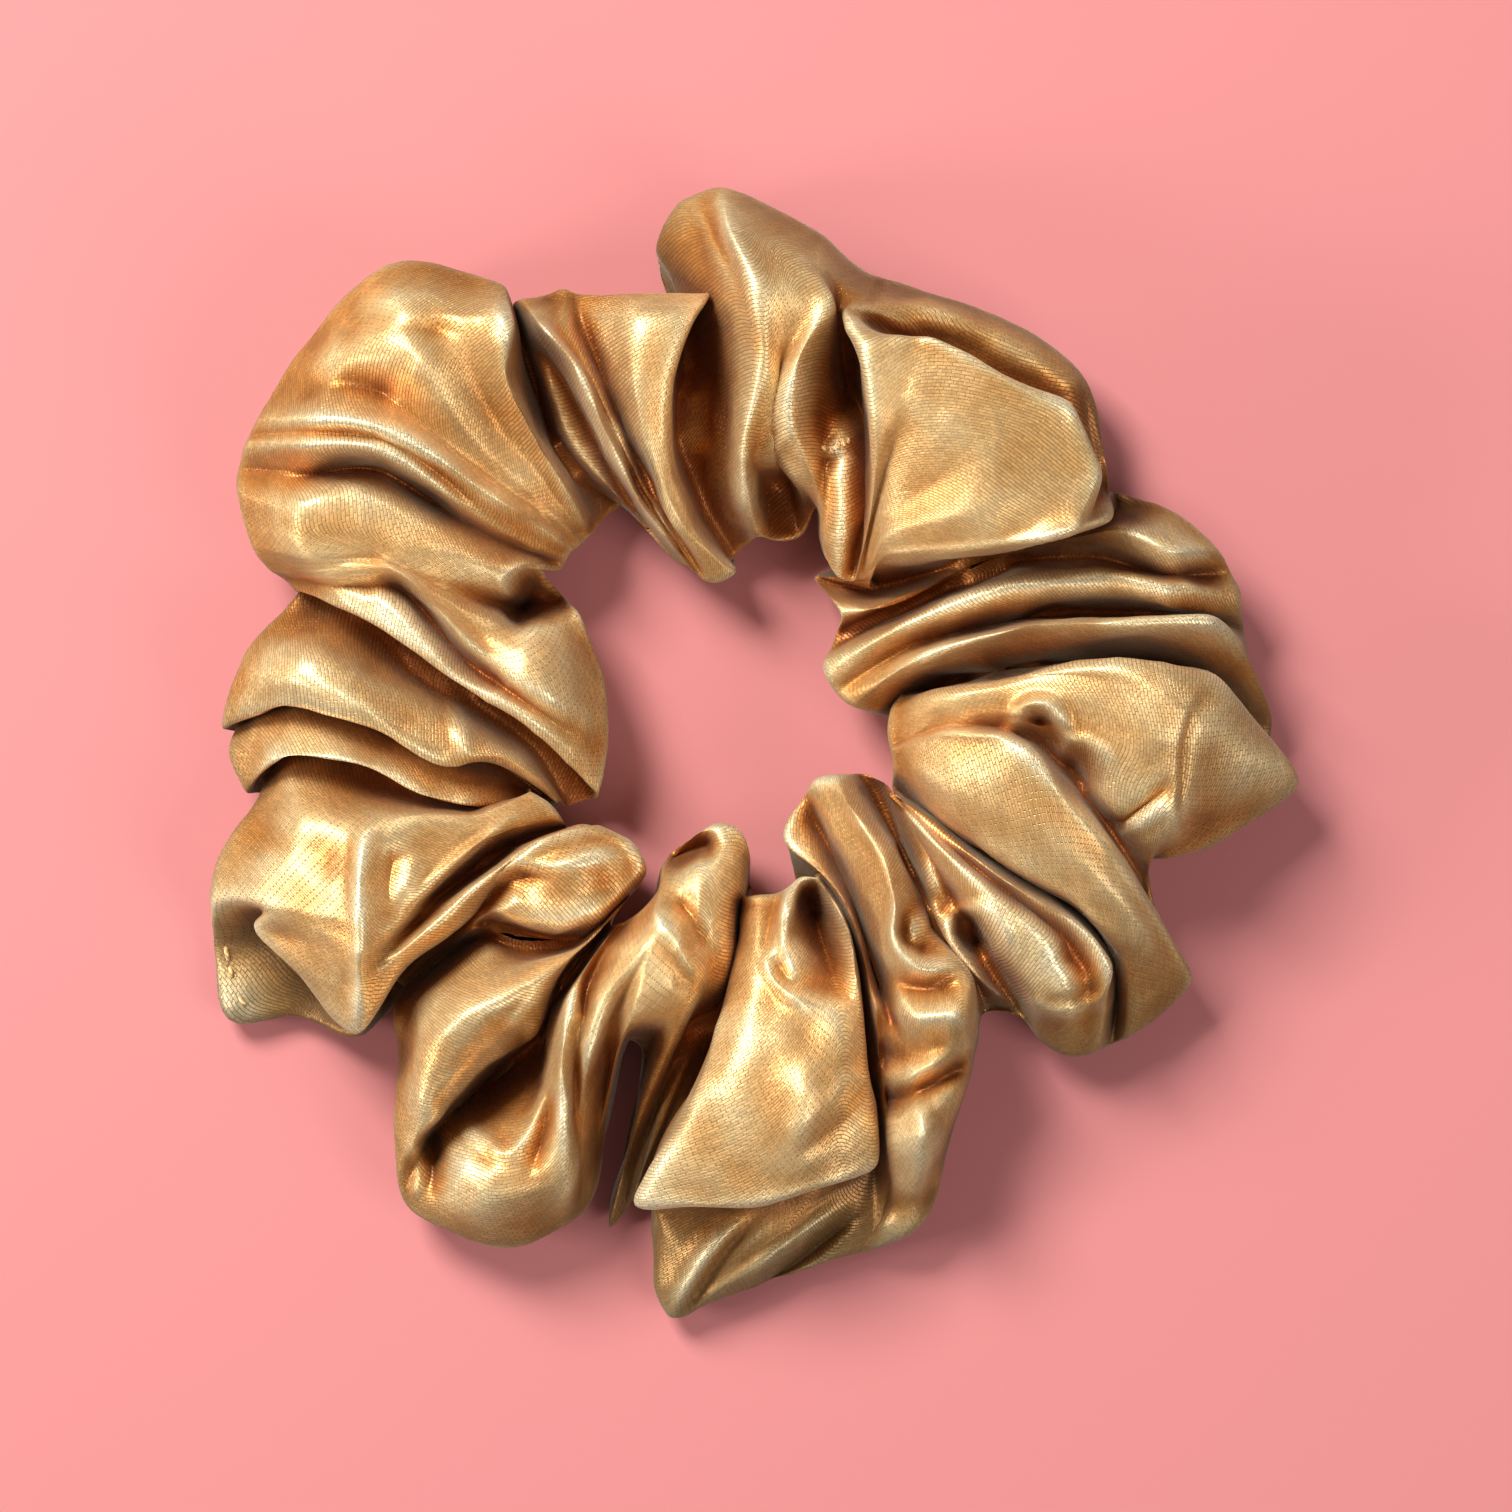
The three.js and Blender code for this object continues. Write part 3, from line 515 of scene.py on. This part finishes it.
def blurred(picture, sigma_mm):
    """The picture through a Gaussian blur."""
    fx = np.fft.fftfreq(picture.shape[0], MAP_CELL)[:, None]
    fy = np.fft.rfftfreq(picture.shape[1], MAP_CELL)[None]
    keep = np.exp(-2 * (math.pi * sigma_mm) ** 2 * (fx**2 + fy**2))
    return np.fft.irfft2(np.fft.rfft2(picture) * keep, picture.shape)


def above_surroundings(grid, *sigmas_mm):
    """For each sigma, how far each point stands above the top of the sleeve round it, in mm."""
    count = int(2 * MAP_REACH / MAP_CELL)
    at = ((grid[..., :2] + MAP_REACH) / MAP_CELL).astype(int).clip(0, count - 1).reshape(-1, 2)
    i, j = at.T
    heights = np.zeros((count, count))
    np.maximum.at(heights, (i, j), grid[..., 2].ravel())
    covered = (heights > 0).astype(float)
    means = [blurred(heights, s) / np.maximum(blurred(covered, s), 0.15) for s in sigmas_mm]
    return [(grid[..., 2].ravel() - mean[i, j]).reshape(grid.shape[:2]) for mean in means]


def deepen(grid):
    """Makes the folds' relief stronger."""
    fine, broad = above_surroundings(grid, 1.6, 5)
    z = grid[..., 2]
    more = 0.3 * fine.clip(-3, 3) + 0.32 * broad.clip(-6, 5)
    more *= np.interp(z, (3, 10), (0, 1))
    more *= np.interp(np.arange(grid.shape[1]) / TOP_STEPS, (0, 0.06, 0.88, 0.97), (0, 1, 1, 0))
    grid[..., 2] = z + smoothed(more, 3, 3)


def painted_fold_light(grid):
    """How far each point stands above the cloth round it, from -1, deep in a fold, to 1, with bent
    crests raised; it sets the satin's painted shade in folds and painted highlight on crests.
    """
    fine, broad = above_surroundings(grid, 1.5, 5)
    normals = normals_of(grid)
    bend = np.zeros(grid.shape[:2])
    for axis in (0, 1):
        for reach in (2, 4):
            middle = (np.roll(grid, reach, axis) + np.roll(grid, -reach, axis)) / 2
            bend += np.einsum("ijk,ijk->ij", grid - middle, normals) / reach
    bend = smoothed(bend, 4, 6).clip(-0.5, 0.5)
    return np.clip(np.clip((fine * 1.3 + broad) / 9, -1, 0.12) + 2.1 * bend, -1, 1)


def painted_outer_shade(grid):
    """1 where the cloth is low at the outer rim or under the sleeve, 0 elsewhere: where the satin
    gets its painted shade, a dark olive.
    """
    low = np.interp(grid[..., 2], (4, 10), (1, 0))
    outer = np.interp(np.arange(grid.shape[1]) / TOP_STEPS, (0.6, 0.8), (0, 1))
    return low * outer


grid, numbers, place = sleeve_grid()
deepen(grid)
press_strokes(grid, numbers)
grid = smoothed(grid, SOFTENING, SOFTENING)
cloth_u, cloth_v = cloth_coordinates(grid)
crumple(grid)
clear_elastic(grid)
normals = normals_of(grid)
looks_by_point = {"painted_fold_light": painted_fold_light(grid), "painted_outer_shade": painted_outer_shade(grid)}

# ---- Materials ----


def node(tree, kind, inputs=None, **settings):
    """Adds a shader node, with its settings and its input values or links."""
    made = tree.nodes.new(kind)
    for name, value in settings.items():
        setattr(made, name, value)
    for key, value in (inputs or {}).items():
        if isinstance(value, bpy.types.NodeSocket):
            tree.links.new(value, made.inputs[key])
        else:
            made.inputs[key].default_value = value
    return made


def maths(tree, operation, a, b=0.0):
    return node(tree, "ShaderNodeMath", {0: a, 1: b}, operation=operation).outputs[0]


def weighted_sum(tree, *terms, offset):
    """The offset plus each term's value times its weight."""
    total = offset
    for value, weight in terms:
        total = maths(tree, "ADD", maths(tree, "MULTIPLY", value, weight), total)
    return total


def ramp(tree, value, stops):
    """A colour ramp with stops of (position, colour)."""
    made = node(tree, "ShaderNodeValToRGB", {"Fac": value})
    elements = made.color_ramp.elements
    while len(elements) < len(stops):
        elements.new(0.5)
    for element, (position, color) in zip(elements, stops):
        element.position = position
        element.color = (*color, 1)
    return made.outputs["Color"]


def mixed(tree, share, color, other, blend_type="MIX"):
    """The colour with the given share of the other one mixed in, or multiplied in."""
    inputs = {0: share, 6: color, 7: other}
    return node(tree, "ShaderNodeMix", inputs, data_type="RGBA", blend_type=blend_type).outputs[2]


def tinted(tree, color, factor):
    """The colour made lighter or darker."""
    return mixed(tree, 1.0, color, (factor, factor, factor, 1), "MULTIPLY")


def place_in_piece(tree):
    """The piece's own coordinates, in metres."""
    return node(tree, "ShaderNodeTexCoord").outputs["Object"]


def noise_at(tree, vector, scale, **inputs):
    inputs = {"Vector": vector, "Scale": scale, **inputs}
    return node(tree, "ShaderNodeTexNoise", inputs).outputs["Fac"]


def attribute(tree, name):
    return node(tree, "ShaderNodeAttribute", attribute_name=name).outputs["Fac"]


def principled(tree, inputs):
    """Gives the material one principled shader, with these inputs."""
    shader = node(tree, "ShaderNodeBsdfPrincipled", inputs)
    node(tree, "ShaderNodeOutputMaterial", {"Surface": shader.outputs[0]})


def material(name):
    made = bpy.data.materials.new(name)
    made.use_nodes = True
    made.node_tree.nodes.clear()
    return made, made.node_tree


def bump(tree, height, distance_mm, strength, normal=None):
    inputs = {"Height": height, "Distance": distance_mm * MM, "Strength": strength}
    if normal:
        inputs["Normal"] = normal
    return node(tree, "ShaderNodeBump", inputs).outputs["Normal"]


THREAD_PITCH, FLOAT_LENGTH = 0.36, 1.0  # of the satin's threads and the floats on its face, in mm
TWILL_ANGLE = math.radians(27)  # between the threads and the sleeve's length


def satin_material():
    made, tree = material("gold_satin")
    cloth = node(tree, "ShaderNodeUVMap", uv_map="cloth").outputs["UV"]
    stretched = {"Vector": cloth, "Scale": (0.5, 2.6, 1)}  # slubs are long along the threads
    slubs = noise_at(tree, node(tree, "ShaderNodeMapping", stretched).outputs[0], 1.0, Roughness=0.55)
    position = place_in_piece(tree)
    crinkle = noise_at(tree, position, 240.0, Detail=3.0)
    mottle = noise_at(tree, position, 120.0, Detail=1.0)
    grain = noise_at(tree, position, 3600.0, Detail=1.0)

    # Painted shade and highlight: deep folds are painted a warm brown as shade, open crests a pale
    # gold as highlight, and the low outer cloth a dark olive as shade, with random mottle on top.
    terms = (attribute(tree, "painted_fold_light"), 0.5), (crinkle, 0.2), (mottle, 0.35)
    painted_light_and_mottle = weighted_sum(tree, *terms, offset=0.225)
    stops = (
        (0.0, (0.29, 0.078, 0.009)),
        (0.3, (0.58, 0.235, 0.047)),
        (0.55, (0.72, 0.41, 0.15)),
        (0.8, (0.88, 0.65, 0.33)),
        (1.0, (0.95, 0.79, 0.5)),
    )
    color = ramp(tree, painted_light_and_mottle, stops)
    # Painted shade on the low outer cloth: a dark olive mixed in.
    olive = maths(tree, "MULTIPLY", attribute(tree, "painted_outer_shade"), 0.65)
    color = mixed(tree, olive, color, (0.22, 0.15, 0.06, 1))
    # Painted glints: the colour is made lighter and darker at random, as fine as the threads.
    painted_glints = weighted_sum(tree, (grain, 0.5), offset=0.75)
    color = mixed(tree, 1.0, color, painted_glints, "MULTIPLY")

    twill = {"Vector": cloth, "Rotation": (0, 0, TWILL_ANGLE)}
    inputs = {
        "Vector": node(tree, "ShaderNodeMapping", twill).outputs[0],
        "Color1": tinted(tree, color, 0.87),
        "Color2": tinted(tree, color, 1.13),
        "Mortar": tinted(tree, color, 0.45),
        "Scale": 1.0,
        "Mortar Size": 0.055,
        "Mortar Smooth": 0.8,
        "Brick Width": FLOAT_LENGTH,
        "Row Height": THREAD_PITCH,
    }
    floats = node(tree, "ShaderNodeTexBrick", inputs, offset=0.4)
    weave = maths(tree, "SUBTRACT", 1.0, floats.outputs["Fac"])
    roughness = weighted_sum(tree, (slubs, 0.16), offset=0.33)

    normal = bump(tree, crinkle, 0.7, 0.25)
    normal = bump(tree, slubs, 0.06, 0.4, normal)
    normal = bump(tree, weave, 0.08, 0.6, normal)
    normal = bump(tree, grain, 0.06, 0.6, normal)
    tangent = node(tree, "ShaderNodeTangent", direction_type="UV_MAP", uv_map="cloth").outputs[0]
    inputs = {
        "Base Color": floats.outputs["Color"],
        "Metallic": 0.55,
        "Roughness": roughness,
        "Anisotropic": 0.45,
        "Anisotropic Rotation": 0.25,
        "Sheen Weight": 0.25,
        "Sheen Roughness": 0.4,
        "Sheen Tint": (1.0, 0.85, 0.6, 1),
        "Normal": normal,
        "Tangent": tangent,
    }
    principled(tree, inputs)
    return made


satin = satin_material()

# ---- Meshes ----

GATHERS = len(frame["bodies"])


def mesh_object(name, points, faces, made_of):
    mesh = bpy.data.meshes.new(name)
    mesh.from_pydata((np.asarray(points) * MM).tolist(), [], faces)
    mesh.shade_smooth()
    mesh.materials.append(made_of)
    made = bpy.data.objects.new(name, mesh)
    bpy.context.collection.objects.link(made)
    return made


def body(i):
    return f"gather_{i + 1:02d}"


def stretch_with(piece):
    """Bakes the piece's placement into its points."""
    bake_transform(piece)


def piece_columns(g):
    """The numbers of the grid's columns in piece g, both edges included."""
    inside = np.flatnonzero(np.floor(place) == g)
    return np.append(inside, inside[-1] + 1)


def nodes_of(kind, g):
    """The CAD nodes that piece g stands for. The last piece stands for its end's node as well."""
    return [f"{kind}_{k + 1:02d}" for k in ((g, g + 1) if g == GATHERS - 2 else (g,))]


def build_cover(g):
    """One piece of the sleeve, from the middle of gather g to the middle of the next."""
    cols = piece_columns(g)
    wrapped = cols % len(place)
    rows = grid.shape[1]
    points = grid[wrapped].reshape(-1, 3)
    i = np.arange(len(cols) - 1)[:, None]
    j = np.arange(rows)[None]
    after = (j + 1) % rows
    corners = [i * rows + j, i * rows + after, (i + 1) * rows + after, (i + 1) * rows + j]
    faces = np.stack(corners, axis=-1).reshape(-1, 4)
    made = mesh_object(f"sleeve_{g + 1:02d}", points, faces.tolist(), satin)

    u, v = cloth_u[cols], cloth_v[wrapped]
    uv = []
    for di, dj in ((0, 0), (0, 1), (1, 1), (1, 0)):
        corner_u = np.broadcast_to(u[i + di], (len(cols) - 1, rows))
        uv.append(np.stack([corner_u, v[i + di, j + dj]], axis=-1))
    layer = made.data.uv_layers.new(name="cloth")
    layer.data.foreach_set("uv", np.stack(uv, axis=2).astype(np.float32).ravel())
    for name, values in looks_by_point.items():
        layer = made.data.attributes.new(name, "FLOAT", "POINT")
        layer.data.foreach_set("value", values[wrapped].astype(np.float32).ravel())
    made.data.normals_split_custom_set_from_vertices(normals[wrapped].reshape(-1, 3).tolist())

    stretch_with(made)
    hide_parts(*nodes_of("cover", g))
    return made


covers = [build_cover(g) for g in range(GATHERS - 1)]


# ---- Elastic and thread, inside the sleeve ----

# The angle round the loop, in degrees, at which each gather carries the elastic and the seam.
REFERENCES = (207, 237, 273, 302, 328, 354.5, 377, 405, 438, 466.5, 502, 539.5, 567)
ELASTIC_THICK = 1.0
RIBS, RIB_DEPTH = 6, 0.12  # lengthwise ribs of the braid
SEAM_R, SEAM_Z = 37.0, 5.4  # the lengthwise seam, where the sleeve is wide enough
SEAM_PITCH = 2.6  # from one running stitch to the next
SEAM_ROOM = 1.6  # between a running stitch and the outer rim, or the elastic's middle
LAP_R = LOOP_R + ELASTIC_THICK + 0.3
LAP_START, LAP_DEGREES = 0.9, 10.3  # from the closing seam, and how far the ends overlap
ZIGZAG_CORNERS = 8
THREAD_SIDES = 8
# The lengthwise seam shows at one gather, rolled up between two folds.
ROLLED_SEAM = 7
ROLLED_SEAM_START, ROLLED_SEAM_END, ROLLED_STITCHES = (6.9, 30), (9.4, 31.3), 6
CLOSING_STITCHES = ((-53.6, -19.6), (-52.4, -22), (-51.5, -24.5), (-51, -26.6))


def on_loop(radius, degrees, z):
    angle = np.radians(degrees)
    x = LOOP_X + radius * np.cos(angle)
    return np.stack([x, LOOP_Y + radius * np.sin(angle), np.broadcast_to(z, x.shape)], axis=-1)


def swept(rings, closed_ends):
    """Points and faces of a tube through rings, an array of (ring, point, xyz)."""
    count, n = rings.shape[:2]
    faces = []
    for i in range(count - 1):
        for j in range(n):
            k = (j + 1) % n
            faces.append((i * n + j, i * n + k, (i + 1) * n + k, (i + 1) * n + j))
    if closed_ends:
        faces.append(tuple(reversed(range(n))))
        faces.append(tuple(range((count - 1) * n, count * n)))
    return rings.reshape(-1, 3), faces


def tube_rings(path, radii):
    """Round sections along a path of points."""
    path = np.asarray(path, float)
    ahead = np.gradient(path, axis=0)
    ahead /= np.linalg.norm(ahead, axis=1, keepdims=True)
    up = np.where(np.abs(ahead[:, 2:3]) > 0.9, [[1.0, 0, 0]], [[0, 0, 1.0]])
    side = np.cross(ahead, up)
    side /= np.linalg.norm(side, axis=1, keepdims=True)
    over = np.cross(side, ahead)
    turn = np.arange(THREAD_SIDES) * 2 * math.pi / THREAD_SIDES
    ring = side[:, None] * np.cos(turn)[None, :, None] + over[:, None] * np.sin(turn)[None, :, None]
    return path[:, None] + ring * np.asarray(radii)[:, None, None]


def merged(parts):
    """One list of points and faces from several."""
    points, faces, start = [], [], 0
    for some_points, some_faces in parts:
        points.append(some_points)
        faces += [tuple(start + k for k in face) for face in some_faces]
        start += len(some_points)
    return np.concatenate(points), faces


def stitch(a, b, radius):
    """A stitch: a short thread that dips into the cloth at both ends."""
    a, b = np.asarray(a, float), np.asarray(b, float)
    t = np.array([0, 0.12, 0.35, 0.65, 0.88, 1])[:, None]
    path = a + (b - a) * t
    path[:, 2] += np.array([-0.35, -0.05, 0.1, 0.1, -0.05, -0.35])
    rings = tube_rings(path, radius * np.array([0.6, 1, 1.1, 1.1, 1, 0.6]))
    return swept(rings, closed_ends=True)


def top_of_sleeve(x, y):
    """The highest point of the sleeve above (x, y), and the normal there."""
    away = np.hypot(grid[..., 0] - x, grid[..., 1] - y)
    over = np.where(away < 0.5, grid[..., 2], -1)
    at = np.unravel_index(np.argmax(over), over.shape)
    return grid[at], normals[at]


def lowest_top(x, y):
    """How low the top of the sleeve comes near (x, y)."""
    over = grid[:, 4 : TOP_STEPS - 8]
    near = np.hypot(over[..., 0] - x, over[..., 1] - y) < 1.8
    return over[..., 2][near].min() if near.any() else SEAM_Z


def draped_stitches(path, length, gap, radius):
    """Stitches on top of the sleeve, along a path of (x, y) points."""
    path = np.asarray(path, float)
    along = np.concatenate([[0], np.cumsum(np.linalg.norm(np.diff(path, axis=0), axis=1))])
    parts = []
    for start in np.arange(0, along[-1] - length + 0.01, length + gap):
        ends = []
        for d in (start, start + length):
            x, y = (np.interp(d, along, path[:, k]) for k in (0, 1))
            point, normal = top_of_sleeve(x, y)
            ends.append(point + normal * radius * 0.7)
        parts.append(stitch(*ends, radius))
    return parts


def braid_section(radius):
    """The band's section in (radius, z), with its ribs."""
    across = np.linspace(0, 1, RIBS * 6 + 1)
    ribbed = ELASTIC_THICK / 2 - RIB_DEPTH + RIB_DEPTH * np.abs(np.sin(across * RIBS * math.pi))
    z = ELASTIC_FOOT + (ELASTIC_TOP - ELASTIC_FOOT) * across
    out = np.stack([radius + ribbed, z], axis=1)
    back = np.stack([radius - ribbed, z], axis=1)[::-1]
    return np.concatenate([out, back])


def braid_rings(radius, start, end):
    """Sections of the band along the loop, between two angles in degrees."""
    degrees = np.linspace(start, end, int((end - start) * 1.5) + 2)
    return np.stack([on_loop(r, degrees, z) for r, z in braid_section(radius)], axis=1)


def braid_material():
    made, tree = material("white_braid")
    position = place_in_piece(tree)
    inputs = {"Vector": position, "Scale": 2600.0, "Randomness": 0.6}
    knit = node(tree, "ShaderNodeTexVoronoi", inputs).outputs["Distance"]
    wear = noise_at(tree, position, 300.0)
    color = ramp(tree, wear, ((0.3, (0.62, 0.56, 0.47)), (0.7, (0.82, 0.78, 0.7))))
    normal = bump(tree, knit, 0.15, 0.7)
    inputs = {"Base Color": color, "Roughness": 0.85, "Sheen Weight": 0.3, "Normal": normal}
    principled(tree, inputs)
    return made


def thread_material():
    made, tree = material("gold_thread")
    inputs = {"Vector": place_in_piece(tree), "Scale": 900.0, "Distortion": 1.5}
    ply = node(tree, "ShaderNodeTexWave", inputs, bands_direction="DIAGONAL").outputs["Fac"]
    color = ramp(tree, ply, ((0.2, (0.5, 0.27, 0.08)), (0.8, (0.85, 0.6, 0.27))))
    normal = bump(tree, ply, 0.08, 0.6)
    inputs = {"Base Color": color, "Roughness": 0.5, "Sheen Weight": 0.3, "Normal": normal}
    principled(tree, inputs)
    return made


braid = braid_material()
thread = thread_material()


def loop_object(name, g, points, faces, made_of):
    """A piece that lies along the loop, from gather g to the next, with its placement baked into its
    points. g is not used.
    """
    made = mesh_object(name, points, faces, made_of)
    stretch_with(made)
    return made


def build_elastic(g):
    band = swept(braid_rings(LOOP_R, REFERENCES[g], REFERENCES[g + 1]), closed_ends=False)
    made = loop_object(f"elastic_band_{g + 1:02d}", g, *band, braid)
    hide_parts(*nodes_of("elastic", g))


def build_seam_thread(g):
    """The lengthwise seam's running stitches, inside the sleeve, and those that show."""
    rims = grid[:, TOP_STEPS, :2] - (LOOP_X, LOOP_Y)
    rim_angles = np.degrees(np.arctan2(rims[:, 1], rims[:, 0]))
    start, end = REFERENCES[g], REFERENCES[g + 1]
    count = int(math.radians(end - start) * SEAM_R / SEAM_PITCH)
    edges = np.linspace(start, end, count + 1)
    parts = []
    for a, b in zip(edges, edges[1:]):
        off = np.abs((rim_angles - (a + b) / 2 + 180) % 360 - 180)
        room = np.hypot(*rims[off < 4].T).min() - SEAM_ROOM
        radius = np.clip(room, LOOP_R + SEAM_ROOM, SEAM_R)
        ends = on_loop(radius, np.array([a + (b - a) * 0.1, a + (b - a) * 0.9]), SEAM_Z)
        ends[:, 2] = min(SEAM_Z, lowest_top(*ends.mean(axis=0)[:2]) - 0.7)
        parts.append(stitch(*ends, radius=0.25))
    if g == ROLLED_SEAM:
        for x, y in np.linspace(ROLLED_SEAM_START, ROLLED_SEAM_END, ROLLED_STITCHES):
            parts += draped_stitches(((x, y), (x - 0.2, y + 0.85)), length=0.85, gap=0.1, radius=0.16)
    made = loop_object(f"seam_stitches_{g + 1:02d}", g, *merged(parts), thread)
    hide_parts(*nodes_of("seam_thread", g))


def build_lap():
    """The elastic's far end, lapped over its first length, and the zigzag that holds it."""
    start = REFERENCES[0] + LAP_START
    end = start + LAP_DEGREES
    band = swept(braid_rings(LAP_R, start, end), closed_ends=True)
    lap = loop_object("elastic_lap", 0, *band, braid)
    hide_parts("elastic_end_lap")

    width = ELASTIC_TOP - ELASTIC_FOOT
    turns = np.linspace(start + 0.7, end - 0.7, ZIGZAG_CORNERS)
    heights = SEAM_Z + np.where(np.arange(ZIGZAG_CORNERS) % 2, 1, -1) * width * 0.35
    corners = on_loop(LAP_R + ELASTIC_THICK / 2 + 0.5, turns, heights)
    parts = [stitch(a, b, radius=0.2) for a, b in zip(corners, corners[1:])]
    zigzag = loop_object("elastic_join_stitches", 0, *merged(parts), thread)
    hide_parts("elastic_join_thread")


def build_closing_seam():
    """The stitches where the sleeve's two ends are sewn together."""
    parts = draped_stitches(CLOSING_STITCHES, length=1.2, gap=0.5, radius=0.2)
    made = mesh_object("closing_stitches", *merged(parts), thread)
    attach(made, body(0))
    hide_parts("closing_seam_thread")


for g in range(GATHERS - 1):
    build_elastic(g)
    build_seam_thread(g)
build_lap()
build_closing_seam()

# ---- Floor, light and camera ----

paper, paper_tree = material("pink_paper")
principled(paper_tree, {"Base Color": (0.58, 0.204, 0.205, 1), "Roughness": 0.9})
FLOOR_HALF = 800  # half the floor's width
floor_corners = [(x * FLOOR_HALF, y * FLOOR_HALF, 0) for x, y in ((-1, -1), (1, -1), (1, 1), (-1, 1))]
floor = mesh_object("floor", floor_corners, [(0, 1, 2, 3)], paper)
floor.visible_glossy = False  # the satin's gloss doesn't pick up the paper's pink


def area_light(name, place_mm, size_mm, watts, color):
    """A square lamp that faces the middle of the floor."""
    light = bpy.data.lights.new(name, "AREA")
    light.size = size_mm * MM
    light.energy = watts
    light.color = color
    made = bpy.data.objects.new(name, light)
    made.location = [n * MM for n in place_mm]
    made.rotation_euler = (-made.location).to_track_quat("-Z", "Y").to_euler()
    bpy.context.collection.objects.link(made)


area_light("key", (-330, 410, 540), 270, 8.7, (1, 0.98, 0.95))
area_light("side", (-600, -80, 300), 200, 2.2, (1, 0.97, 0.92))
area_light("fill", (480, -320, 520), 420, 2.4, (1, 0.97, 0.94))

world = bpy.data.worlds.new("room")
world.use_nodes = True
background = world.node_tree.nodes["Background"]
background.inputs["Color"].default_value = (0.9, 0.87, 0.85, 1)
background.inputs["Strength"].default_value = 0.19
bpy.context.scene.world = world
bpy.context.scene.view_settings.view_transform = "Standard"

MIDDLE_HEIGHT = 10  # of the scrunchie's thickness
CAMERA_HEIGHT = 800  # above that
VIEW_WIDTH = 151.2  # how much of the plane at the middle's height the view takes in
camera_data = bpy.data.cameras.new("camera")
camera_data.sensor_width = 36
camera_data.lens = camera_data.sensor_width * CAMERA_HEIGHT / VIEW_WIDTH
camera_data.clip_start = 0.01
camera = bpy.data.objects.new("camera", camera_data)
camera.location = (0, 0, (CAMERA_HEIGHT + MIDDLE_HEIGHT) * MM)
bpy.context.collection.objects.link(camera)
bpy.context.scene.camera = camera
